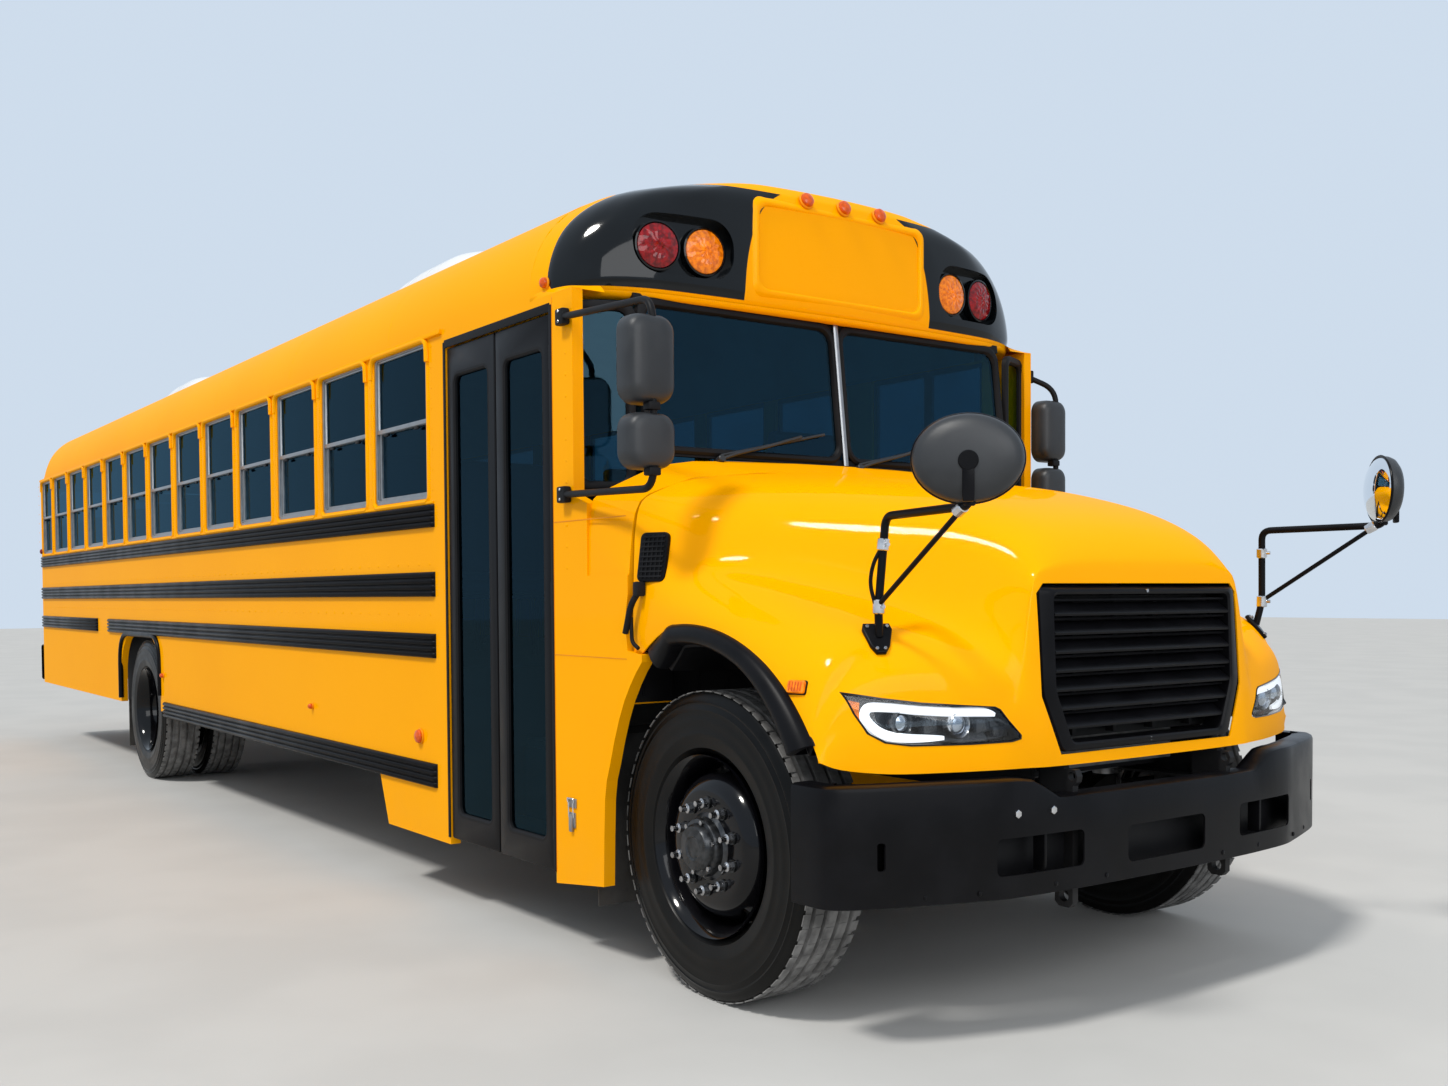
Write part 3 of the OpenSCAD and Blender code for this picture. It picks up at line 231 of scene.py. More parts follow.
# Bright red with a strong glow for the centre of the red warning lamps: a painted glint from the reflector,
# not a lit lamp.
RED_GLINT = material("red_glint_centre", (0.75, 0.006, 0.012), 0.15, coat=0.3, specular=0.3, mottle=0.2, scale=60.0,
    glow=0.3)
LED_WHITE = material("led_white", (0.92, 0.95, 1.0), 0.3, mottle=0.01, glow=0.55)
REFLECTOR = material("lamp_reflector", (0.42, 0.46, 0.52), 0.18, metal=0.9, mottle=0.2, scale=30.0)
LAMP_BLACK = material("lamp_interior", (0.02, 0.024, 0.03), 0.25, coat=0.4, mottle=0.2, scale=20.0)
WINDOW = clear_material("window_tint", (0.13, 0.24, 0.3), 0.42, 0.02)
SCREEN = clear_material("windshield_tint", (0.26, 0.5, 0.6), 0.4, 0.01)
LENS = clear_material("clear_lens", (0.93, 0.95, 0.97), 0.6, 0.02, (1.0, 1.0, 1.0))
MIRROR = material("mirror_glass", (0.8, 0.83, 0.86), 0.03, metal=1.0, mottle=0.02)


# ---------------------------------------------------------------- mesh tools


def scene_object(name, data):
    made = bpy.data.objects.new(name, data)
    bpy.context.scene.collection.objects.link(made)
    return made


def mark_sharp(bm, limit_deg):
    """Shades smooth, apart from edges that turn by more than the limit."""
    limit = math.radians(limit_deg)
    for face in bm.faces:
        face.smooth = True
    for edge in bm.edges:
        edge.smooth = len(edge.link_faces) == 2 and edge.calc_face_angle(0.0) < limit


class Piece:
    """One visible piece, gathered from parts that each have a material."""

    def __init__(self, name, body="root"):
        self.name = name
        self.body = body
        self.bm = bmesh.new()
        self.materials = []

    def slot(self, mat):
        if mat not in self.materials:
            self.materials.append(mat)
        return self.materials.index(mat)

    def add(self, verts, faces, mat):
        index = self.slot(mat)
        made = [self.bm.verts.new(v) for v in verts]
        for face in faces:
            new = self.bm.faces.new([made[i] for i in face])
            new.material_index = index

    def face(self, ring, mat):
        """One face round a ring of points."""
        self.add(ring, [list(range(len(ring)))], mat)

    def capped(self, rings, mat, end_mat=None):
        """Closed rings joined with quads, with one face over the last ring."""
        self.grid(rings, mat, close_ring=True)
        self.face(rings[-1], end_mat or mat)

    def take(self, other, mat, matrix=None):
        """Adds another bmesh, moved by matrix, and frees it."""
        if matrix is not None:
            other.transform(matrix)
        other.verts.index_update()
        self.add([v.co.copy() for v in other.verts], [[v.index for v in f.verts] for f in other.faces], mat)
        other.free()

    def box(self, lo, hi, mat, bevel=0.0, matrix=None):
        other = bmesh.new()
        bmesh.ops.create_cube(other, size=1.0)
        lo, hi = Vector(lo), Vector(hi)
        size = Vector([abs(a) for a in hi - lo])
        for v in other.verts:
            v.co = Vector([v.co[i] * size[i] + (lo[i] + hi[i]) / 2 for i in range(3)])
        if bevel:
            bmesh.ops.bevel(other, geom=list(other.edges), offset=min(bevel, min(size) * 0.45), segments=2,
                profile=0.6, affect="EDGES")
        self.take(other, mat, matrix)

    def prism(self, outline, plane, d0, d1, mat, bevel=0.0, segments=2, matrix=None):
        """Extrudes an outline. plane names its two axes, and the third runs from d0 to d1."""
        a, b = ("xyz".index(c) for c in plane)
        c = 3 - a - b
        other = bmesh.new()
        ends = []
        for d in (d0, d1):
            ring = []
            for p in outline:
                co = [0.0, 0.0, 0.0]
                co[a], co[b], co[c] = p[0], p[1], d
                ring.append(other.verts.new(co))
            ends.append(ring)
        n = len(outline)
        caps = [other.faces.new(ends[0]), other.faces.new(list(reversed(ends[1])))]
        for i in range(n):
            other.faces.new([ends[0][i], ends[1][i], ends[1][(i + 1) % n], ends[0][(i + 1) % n]])
        bmesh.ops.recalc_face_normals(other, faces=other.faces)
        if bevel:
            edges = [e for f in caps for e in f.edges]
            bmesh.ops.bevel(other, geom=edges, offset=bevel, segments=segments, profile=0.5, affect="EDGES",
                clamp_overlap=True)
        self.take(other, mat, matrix)

    def lathe(self, profile, centre, mat, axis="y", segments=64, closed=True):
        """Turns a (radius, offset) profile about an axis through centre."""
        k = "xyz".index(axis)
        a, b = [i for i in range(3) if i != k]
        verts, faces = [], []
        n = len(profile)
        for j in range(segments):
            t = 2 * math.pi * j / segments
            for r, h in profile:
                co = list(centre)
                co[a] += r * math.cos(t)
                co[b] += r * math.sin(t)
                co[k] += h
                verts.append(co)
        for j in range(segments):
            for i in range(n if closed else n - 1):
                i2, j2 = (i + 1) % n, (j + 1) % segments
                faces.append([j * n + i, j * n + i2, j2 * n + i2, j2 * n + i])
        other = bmesh.new()
        made = [other.verts.new(v) for v in verts]
        for f in faces:
            other.faces.new([made[i] for i in f])
        bmesh.ops.remove_doubles(other, verts=other.verts, dist=1e-6)
        bmesh.ops.recalc_face_normals(other, faces=other.faces)
        self.take(other, mat)

    def turned(self, profile, mat, at, segments, closed=True):
        """Turns a (radius, height) profile about the Z axis of a matrix."""
        part = Piece("turned")
        part.lathe(profile, ORIGIN, mat, "z", segments, closed)
        self.take(part.bm, mat, at)

    def rod(self, p, q, r, mat, segments=20, r2=None, bevel=0.0):
        """A cylinder or cone from p to q with its ends closed."""
        p, q = Vector(p), Vector(q)
        length = (q - p).length
        r2 = r if r2 is None else r2
        b = min(bevel, length * 0.4)
        profile = [(0, 0), (r - b, 0), (r, b), (r2, length - b), (r2 - b, length), (0, length)]
        profile = [x for i, x in enumerate(profile) if i == 0 or x != profile[i - 1]]
        turn = (q - p).to_track_quat("Z", "Y").to_matrix().to_4x4()
        self.turned(profile, mat, Matrix.Translation(p) @ turn, segments, closed=False)

    def tube(self, points, r, mat, segments=14, bend=0.0):
        """A round tube along points, with its corners bent and its ends closed."""
        path = [Vector(p) for p in points]
        if bend:
            path = rounded_path(path, bend)
        n = len(path)
        side = None
        verts, faces = [], []
        for i, p in enumerate(path):
            ahead = (path[min(i + 1, n - 1)] - path[max(i - 1, 0)]).normalized()
            if side is None:
                side = ahead.orthogonal().normalized()
            side = (side - ahead * side.dot(ahead)).normalized()
            other = ahead.cross(side)
            for j in range(segments):
                t = 2 * math.pi * j / segments
                verts.append(p + side * (r * math.cos(t)) + other * (r * math.sin(t)))
        for i in range(n - 1):
            for j in range(segments):
                j2 = (j + 1) % segments
                faces.append([i * segments + j, i * segments + j2, (i + 1) * segments + j2,
                    (i + 1) * segments + j])
        faces.append(list(reversed(range(segments))))
        faces.append([(n - 1) * segments + j for j in range(segments)])
        self.add(verts, faces, mat)

    def grid(self, rows, mat, close_ring=False):
        """Joins rows of points with quads."""
        n = len(rows[0])
        verts = [p for row in rows for p in row]
        faces = []
        for j in range(len(rows) - 1):
            for i in range(n if close_ring else n - 1):
                i2 = (i + 1) % n
                faces.append([j * n + i, j * n + i2, (j + 1) * n + i2, (j + 1) * n + i])
        self.add(verts, faces, mat)

    def shell(self, rows, inner, mat, inner_mat=None):
        """A closed sheet between two grids of the same size."""
        n, m = len(rows[0]), len(rows)
        verts = [p for row in rows for p in row] + [p for row in inner for p in row]
        faces = []
        k = n * m
        for j in range(m - 1):
            for i in range(n - 1):
                a, b, c, d = j * n + i, j * n + i + 1, (j + 1) * n + i + 1, (j + 1) * n + i
                faces.append([a, b, c, d])
                faces.append([k + d, k + c, k + b, k + a])
        rim = list(range(n)) + [j * n + n - 1 for j in range(1, m)]
        rim += [(m - 1) * n + i for i in range(n - 2, -1, -1)] + [j * n for j in range(m - 2, 0, -1)]
        for a, b in zip(rim, rim[1:] + rim[:1]):
            faces.append([b, a, k + a, k + b])
        start = len(self.bm.faces)
        self.add(verts, faces, mat)
        if inner_mat:
            index = self.slot(inner_mat)
            self.bm.faces.ensure_lookup_table()
            # the inner faces are every second one, up to the rim
            for j in range(1, 2 * (n - 1) * (m - 1), 2):
                self.bm.faces[start + j].material_index = index

    def cut(self, *cutters):
        """Subtracts closed pieces from this one."""
        for piece in (self, *cutters):
            bmesh.ops.recalc_face_normals(piece.bm, faces=piece.bm.faces)
        made = self._object()
        for cutter in cutters:
            modifier = made.modifiers.new("cut", "BOOLEAN")
            modifier.operation = "DIFFERENCE"
            modifier.solver = "EXACT"
            modifier.object = cutter._object()
        bpy.context.view_layer.update()
        result = made.evaluated_get(bpy.context.evaluated_depsgraph_get()).to_mesh()
        self.bm = bmesh.new()
        self.bm.from_mesh(result)
        count = len(self.materials)
        for face in self.bm.faces:
            face.material_index = min(face.material_index, count - 1)
        tools = [m.object for m in made.modifiers]
        for o in [made, *tools]:
            bpy.data.objects.remove(o)
        return self

    def _object(self):
        mesh = bpy.data.meshes.new(self.name)
        self.bm.to_mesh(mesh)
        self.bm.free()
        for mat in self.materials:
            mesh.materials.append(mat)
        return scene_object(self.name, mesh)

    def done(self, *nodes, slot, sharp=32.0):
        """Makes the object, puts it on its body and hides the CAD nodes that it stands for."""
        bmesh.ops.remove_doubles(self.bm, verts=self.bm.verts, dist=1e-5)
        bmesh.ops.recalc_face_normals(self.bm, faces=self.bm.faces)
        mark_sharp(self.bm, sharp)
        bmesh.ops.translate(self.bm, verts=self.bm.verts, vec=(AXLE_X, 0, 0))
        made = self._object()
        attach(made, self.body)
        if nodes:
            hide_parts(*nodes)
        return made


def placed(point, degrees, axis):
    """Matrix that turns by degrees about an axis and then moves to point."""
    return Matrix.Translation(point) @ Matrix.Rotation(math.radians(degrees), 4, axis)


def both_halves(half):
    """A row from the left edge to the centre line, carried on to the right edge."""
    return half + [Vector((p.x, -p.y, p.z)) for p in reversed(half[:-1])]


def ring_yz(outline, x, side=1):
    """Points of a (y, z) outline in the plane at x, on one side."""
    return [Vector((x, side * y, z)) for y, z in outline]


def ring_xz(outline, y):
    """Points of an (x, z) outline in the plane at y."""
    return [Vector((x, y, z)) for x, z in outline]


def rounded_path(points, bend, steps=7):
    """A polyline whose corners follow arcs of about that radius."""
    path = [points[0]]
    for a, b, c in zip(points, points[1:], points[2:]):
        u, v = (a - b), (c - b)
        reach = min(bend, u.length * 0.48, v.length * 0.48)
        p, q = b + u.normalized() * reach, b + v.normalized() * reach
        for i in range(steps + 1):
            t = i / steps
            path.append(p * (1 - t) ** 2 + b * (2 * t * (1 - t)) + q * t ** 2)
    path.append(points[-1])
    return path


def rounded_rect(x0, x1, z0, z1, r, steps=5):
    """Outline of a rectangle with round corners, anticlockwise."""
    r = min(r, (x1 - x0) / 2, (z1 - z0) / 2)
    points = []
    for cx, cz, start in ((x1 - r, z0 + r, -90), (x1 - r, z1 - r, 0), (x0 + r, z1 - r, 90),
            (x0 + r, z0 + r, 180)):
        for i in range(steps + 1):
            t = math.radians(start + 90 * i / steps)
            points.append((cx + r * math.cos(t), cz + r * math.sin(t)))
    return points


def curve_at(points, s):
    """Catmull-Rom interpolation along a list of points at position s."""
    i = min(int(s), len(points) - 2)
    t = s - i
    a, b = points[max(i - 1, 0)], points[i]
    c, d = points[i + 1], points[min(i + 2, len(points) - 1)]
    square, cube = 2 * a - 5 * b + 4 * c - d, 3 * b - a - 3 * c + d
    return 0.5 * (2 * b + (c - a) * t + square * t * t + cube * t ** 3)


def curve(points, count):
    """That many points, evenly spaced along a smooth curve through points."""
    points = [Vector(p) for p in points]
    return [curve_at(points, (len(points) - 1) * i / (count - 1)) for i in range(count)]


def linear(table, x):
    """Piecewise linear interpolation in a list of (x, value)."""
    if x <= table[0][0]:
        return table[0][1]
    for (x0, v0), (x1, v1) in zip(table, table[1:]):
        if x <= x1:
            return v0 + (v1 - v0) * (x - x0) / (x1 - x0)
    return table[-1][1]


def offset_rows(rows, depth):
    """The grid moved by depth against its normals."""
    m, n = len(rows), len(rows[0])
    moved = []
    for j in range(m):
        line = []
        for i in range(n):
            du = rows[j][min(i + 1, n - 1)] - rows[j][max(i - 1, 0)]
            dv = rows[min(j + 1, m - 1)][i] - rows[max(j - 1, 0)][i]
            normal = dv.cross(du)
            line.append(rows[j][i] - normal.normalized() * depth if normal.length > 1e-12
                else rows[j][i].copy())
        moved.append(line)
    return moved


# ---------------------------------------------------------------- hood


HOOD_NET = [[(-0.318, 0, 1.786), (-0.318, 0.4, 1.783), (-0.318, 0.76, 1.758), (-0.318, 0.96, 1.733),
    (-0.318, 1.084, 1.694), (-0.318, 1.167, 1.648), (-0.318, 1.194, 1.56), (-0.318, 1.2, 1.47),
    (-0.318, 1.204, 1.36), (-0.318, 1.206, 1.23), (-0.318, 1.203, 1.1)],
    [(-0.11, 0, 1.762), (-0.11, 0.39, 1.758), (-0.11, 0.7, 1.734), (-0.11, 0.89, 1.7), (-0.11, 1.01, 1.65),
    (-0.11, 1.085, 1.57), (-0.11, 1.112, 1.47), (-0.11, 1.14, 1.405), (-0.11, 1.185, 1.33),
    (-0.11, 1.203, 1.27), (-0.11, 1.206, 1.216)], [(0.11, 0, 1.733), (0.11, 0.37, 1.728),
    (0.11, 0.62, 1.703), (0.11, 0.78, 1.658), (0.11, 0.88, 1.58), (0.11, 0.94, 1.47), (0.11, 1.0, 1.405),
    (0.11, 1.085, 1.375), (0.11, 1.16, 1.305), (0.11, 1.19, 1.262), (0.11, 1.204, 1.216)],
    [(0.35, 0, 1.686), (0.35, 0.345, 1.68), (0.35, 0.55, 1.652), (0.35, 0.67, 1.6), (0.35, 0.74, 1.51),
    (0.35, 0.795, 1.39), (0.35, 0.89, 1.335), (0.35, 1.015, 1.312), (0.35, 1.12, 1.25), (0.35, 1.17, 1.19),
    (0.35, 1.196, 1.134)], [(0.58, 0, 1.625), (0.58, 0.325, 1.618), (0.58, 0.48, 1.59), (0.58, 0.57, 1.535),
    (0.58, 0.62, 1.43), (0.58, 0.69, 1.29), (0.58, 0.79, 1.256), (0.58, 0.93, 1.244), (0.58, 1.06, 1.19),
    (0.576, 1.145, 1.085), (0.56, 1.188, 0.96)], [(0.75, 0, 1.55), (0.75, 0.32, 1.54),
    (0.748, 0.455, 1.512), (0.742, 0.525, 1.46), (0.738, 0.565, 1.34), (0.73, 0.62, 1.205),
    (0.718, 0.71, 1.185), (0.69, 0.86, 1.19), (0.648, 1.005, 1.15), (0.612, 1.125, 1.05),
    (0.6, 1.184, 0.905)], [(0.835, 0, 1.455), (0.835, 0.32, 1.45), (0.834, 0.45, 1.425),
    (0.832, 0.512, 1.385), (0.832, 0.545, 1.25), (0.826, 0.59, 1.12), (0.812, 0.675, 1.095),
    (0.772, 0.825, 1.095), (0.712, 0.985, 1.085), (0.642, 1.114, 1.01), (0.612, 1.181, 0.882)],
    [(0.852, 0, 1.36), (0.852, 0.32, 1.358), (0.851, 0.46, 1.354), (0.848, 0.52, 1.34), (0.852, 0.56, 1.15),
    (0.848, 0.6, 1.01), (0.834, 0.68, 0.99), (0.788, 0.835, 0.99), (0.724, 0.995, 0.985),
    (0.65, 1.118, 0.95), (0.618, 1.18, 0.87)], [(0.872, 0, 1.05), (0.872, 0.32, 1.05), (0.872, 0.46, 1.048),
    (0.87, 0.52, 1.04), (0.866, 0.56, 0.98), (0.86, 0.605, 0.93), (0.843, 0.685, 0.925),
    (0.795, 0.838, 0.925), (0.73, 0.998, 0.925), (0.656, 1.12, 0.905), (0.624, 1.18, 0.858)],
    [(0.885, 0, 0.801), (0.886, 0.32, 0.802), (0.887, 0.46, 0.804), (0.885, 0.52, 0.805),
    (0.878, 0.56, 0.806), (0.868, 0.605, 0.806), (0.85, 0.685, 0.806), (0.8, 0.838, 0.806),
    (0.735, 0.998, 0.808), (0.662, 1.12, 0.822), (0.631, 1.18, 0.846)]]
GRILLE = {"half": 0.5, "top": 1.35, "bottom": 0.842}
FLARE_CENTRE = (0.0, 0.51)
FLARE_R = 0.726
FLARE_W = 0.066
FLARE_ROOT = 1.188


def hood_rows(across=40, along=64, fairing=6):
    """The hood's outer surface from the cowl to the nose, both halves, lightly faired."""
    columns = len(HOOD_NET[0])
    lines = [curve([row[c] for row in HOOD_NET], along + 1) for c in range(columns)]
    half = [curve([line[j] for line in lines], across + 1) for j in range(along + 1)]
    rows = []
    for line in half:
        rows.append([Vector((p.x, -p.y, p.z)) for p in reversed(line[1:])] + line)
    for _ in range(fairing):
        fresh = [list(row) for row in rows]
        for j in range(1, len(rows) - 1):
            for i in range(1, len(rows[0]) - 1):
                near = rows[j - 1][i] + rows[j + 1][i] + rows[j][i - 1] + rows[j][i + 1]
                fresh[j][i] = rows[j][i] * 0.5 + near * 0.125
        rows = fresh
    return rows


HOOD_SURFACE = hood_rows()


def hood_tree():
    """A lookup tree for the hood's outer surface, to set pieces down on it."""
    rows = HOOD_SURFACE
    n = len(rows[0])
    verts = [p for row in rows for p in row]
    faces = [(j * n + i, j * n + i + 1, (j + 1) * n + i + 1, (j + 1) * n + i) for j in range(len(rows) - 1)
        for i in range(n - 1)]
    return BVHTree.FromPolygons(verts, faces)


HOOD_TREE = hood_tree()


def on_hood(x, y, z):
    """Nearest point of the hood's surface and the direction away from it."""
    point, normal, _, _ = HOOD_TREE.find_nearest(Vector((x, y, z)))
    if normal.dot(point - Vector((0.2, 0, 1.0))) < 0:
        normal = -normal
    return point, normal


def axes_at(x, y, z, point):
    """Matrix with those three axes, at point."""
    return Matrix((*zip(x, y, z, point), (0, 0, 0, 1)))


def frame_at(point, normal):
    """Matrix whose Z points along normal and whose Y points roughly up."""
    z = normal.normalized()
    x = Vector((0, 0, 1)).cross(z).normalized()
    return axes_at(x, z.cross(x), z, point)


def flare_edge(inset, steps=26):
    """Outer edge of the moulding round the wheel opening, from its rear end to its front end."""
    cx, cz = FLARE_CENTRE
    points = [(-0.237 + inset * 0.9, 1.15 - inset), (-0.16 + inset * 0.5, 1.194 - inset)]
    for i in range(steps + 1):
        a = math.radians(98 - 66 * i / steps)
        points.append((cx + (FLARE_R - inset) * math.cos(a), cz + (FLARE_R - inset) * math.sin(a)))
    return points


# Lamp outline on the nose, as (y, z), anticlockwise from its outer top corner
LAMP_OUTLINE = [(1.104, 1.046), (1.085, 0.985), (1.055, 0.925), (1.01, 0.897), (0.94, 0.886), (0.76, 0.884),
    (0.625, 0.886), (0.592, 0.893), (0.59, 0.905), (0.63, 0.95), (0.655, 0.985), (0.672, 0.993),
    (0.76, 1.0), (0.9, 1.012), (1.01, 1.028)]


def nose_x(y, z):
    """How far forward the nose reaches at a place seen from ahead."""
    hit, _, _, _ = HOOD_TREE.ray_cast(Vector((2.0, y, z)), Vector((-1, 0, 0)))
    return hit.x if hit else 0.7


def hood():
    """Thin moulded hood, open at the grille and at both headlights, with black inner panels."""
    piece = Piece("hood_shell", "hood_assembly")
    piece.shell(HOOD_SURFACE, offset_rows(HOOD_SURFACE, SHEET), YELLOW, MATT_BLACK)
    cutters = []
    for side in SIDES:
        lamp = Piece("lamp")
        lamp.prism([(side * y, z) for y, z in LAMP_OUTLINE], "yz", 0.55, 1.1, RUBBER)
        cutters.append(lamp)
    mouth = Piece("mouth")
    h, top, bottom = GRILLE["half"] + 0.008, GRILLE["top"] + 0.008, GRILLE["bottom"] - 0.006
    corner = 0.075
    mouth.prism([(-h, bottom + 2.4 * corner), (-h + corner, bottom), (h - corner, bottom),
        (h, bottom + 2.4 * corner), (h, top - 0.03), (h - 0.03, top), (0.03 - h, top), (-h, top - 0.03)],
        "yz", 0.6, 1.1, RUBBER)
    piece.cut(*cutters, mouth)
    piece.done("hood", slot="yellow_paint", sharp=38)

    inner = Piece("hood_inner_panels", "hood_assembly")
    for side in SIDES:
        # splash guard over the tyre, and the closing panel behind the headlight
        rows = []
        for inset, y in ((0.004, 1.185), (0.075, 1.15), (0.08, 0.78)):
            rows.append([Vector((x, side * y, z)) for x, z in flare_edge(inset)])
        inner.shell(rows, offset_rows(rows, SHEET), MATT_BLACK)
    inner.done(slot="black_rubber")


def intake_vent():
    """Black mesh intake on each flank of the hood, beside the cowl."""
    piece = Piece("hood_intake_vents", "hood_assembly")
    for side in SIDES:
        point, normal = on_hood(-0.235, side * 1.17, 1.455)
        at = frame_at(point + normal * 0.004, normal)
        piece.prism(rounded_rect(-0.058, 0.058, -0.085, 0.085, 0.02), "xy", -0.012, 0.008, SATIN_BLACK,
            0.004, matrix=at)
        for i in range(9):
            z = -0.068 + i * 0.017
            piece.box((-0.048, z - 0.003, 0.006), (0.048, z + 0.003, 0.013), MATT_BLACK, 0.001, at)
        for i in range(5):
            x = -0.036 + i * 0.018
            piece.box((x - 0.002, -0.075, 0.006), (x + 0.002, 0.075, 0.012), MATT_BLACK, 0.001, at)
    piece.done(slot="black_trim")


def hood_straps():
    """Rubber latch strap on each rear corner of the hood."""
    piece = Piece("hood_latch_straps", "hood_assembly")
    for side in SIDES:
        y = side * 1.216
        piece.tube([(-0.262, y, 1.345), (-0.285, side * 1.235, 1.3), (-0.318, side * 1.238, 1.2)], 0.011,
            RUBBER, bend=0.03)
        piece.box((-0.276, side * 1.2, 1.325), (-0.246, side * 1.236, 1.375), RUBBER, 0.008)
        piece.tube([(-0.3, side * 1.226, 1.255), (-0.296, side * 1.226, 1.17),
            (-0.262, side * 1.222, 1.15)], 0.007, RUBBER, bend=0.02)
    piece.done(slot="black_rubber")


def fender_flares():
    """Black moulding round each front wheel opening."""
    piece = Piece("fender_flares_moulded", "hood_assembly")
    # how the moulding stands out across its width: (share of width, y)
    section = [(0.0, 1.188), (0.0, 1.206), (0.1, 1.217), (0.3, 1.226), (0.55, 1.23), (0.8, 1.226),
        (0.95, 1.214), (1.0, 1.196), (1.04, 1.14), (1.0, 1.13), (0.96, 1.186), (0.5, 1.196)]
    count = 44
    for side in SIDES:
        rows = []
        for inset, y in section:
            line = curve([(x, 0, z) for x, z in flare_edge(inset * FLARE_W)], count)
            shaped = []
            for k, p in enumerate(line):
                share = k / (count - 1)
                grow = 0.018 * max(0.0, share - 0.55) / 0.45
                ease = min(1.0, 0.55 + 6 * share)
                out = FLARE_ROOT + (y - FLARE_ROOT) * ease + grow * inset
                shaped.append(Vector((p.x - inset * grow, side * out, p.z)))
            rows.append(shaped)
        rows.append([p.copy() for p in rows[0]])
        piece.grid([[row[k] for row in rows] for k in range(count)], SATIN_BLACK)
        for k in (0, count - 1):
            piece.face([row[k] for row in rows[:-1]], SATIN_BLACK)
    piece.done("fender_flares", slot="black_rubber", sharp=50)


def grille():
    """Black surround, seven slats, posts and a core behind them."""
    piece = Piece("grille_surround", "hood_assembly")
    h, top, bottom = GRILLE["half"], GRILLE["top"], GRILLE["bottom"]

    r = 0.024

    def ring(inset, x_top, x_bottom, cut):
        w, t, b = h - inset[0], top - inset[1], bottom + inset[2]
        corners = [(-w, b + 2.4 * cut), (cut - w, b), (w - cut, b), (w, b + 2.4 * cut), (w, t), (-w, t)]
        line = []
        for k, c in enumerate(corners):
            before, after = Vector(corners[k - 1]), Vector(corners[(k + 1) % 6])
            c = Vector(c)
            u, v = (before - c).normalized() * r, (after - c).normalized() * r
            for s in range(5):
                q = s / 4
                p = (c + u) * (1 - q) ** 2 + c * 2 * q * (1 - q) + (c + v) * q * q
                x = x_bottom + (x_top - x_bottom) * (p.y - bottom) / (top - bottom)
                line.append(Vector((x, p.x, p.y)))
        return line

    levels = [ring((0, 0, 0), 0.838, 0.874, 0.075), ring((0.004, 0.004, 0.004), 0.85, 0.884, 0.075),
        ring((0.036, 0.01, 0.012), 0.866, 0.889, 0.072), ring((0.048, 0.018, 0.02), 0.868, 0.889, 0.07),
        ring((0.054, 0.026, 0.026), 0.862, 0.884, 0.068), ring((0.058, 0.03, 0.03), 0.8, 0.82, 0.066)]
    piece.grid(levels, SATIN_BLACK, close_ring=True)
    piece.grid([ring((0, 0, 0), 0.838, 0.874, 0.075), ring((0.002, 0.002, 0.002), 0.8, 0.83, 0.075)],
        SATIN_BLACK, close_ring=True)
    inside = h - 0.056
    for i in range(7):
        z = bottom + 0.075 + i * (top - bottom - 0.115) / 6.8
        x = 0.882 - 0.016 * (z - bottom) / (top - bottom)
        narrow = 0.062 * max(0.0, 1 - (z - bottom - 0.03) / 0.14)
        w = inside - narrow
        blade = [(x - 0.052, z + 0.03), (x - 0.046, z + 0.034), (x - 0.004, z + 0.005), (x, z),
            (x - 0.002, z - 0.006), (x - 0.008, z - 0.007), (x - 0.054, z + 0.022)]
        piece.prism(blade, "xz", -w, w, SATIN_BLACK)
        piece.prism([(x - 0.034, z + 0.043), (x - 0.022, z + 0.046), (x - 0.018, z + 0.04),
            (x - 0.034, z + 0.036)], "xz", -w, w, MATT_BLACK)
    for y in (-0.3, -0.1, 0.1, 0.3):
        piece.box((0.79, y - 0.008, bottom + 0.04), (0.822, y + 0.008, top - 0.04), MATT_BLACK, 0.002)
    for x, z in ((0.868, top - 0.016), (0.884, bottom + 0.016)):
        piece.rod((x, 0, z), (x + 0.004, 0, z), 0.006, NUT_STEEL, 12)
    # core behind the slats
    piece.box((0.77, -inside, bottom + 0.03), (0.782, inside, top - 0.03), GROOVE)
    for i in range(24):
        z = bottom + 0.05 + i * 0.0185
        piece.box((0.782, -inside + 0.03, z), (0.786, inside - 0.03, z + 0.004), MATT_BLACK)
    piece.done("grille", slot="black_trim")


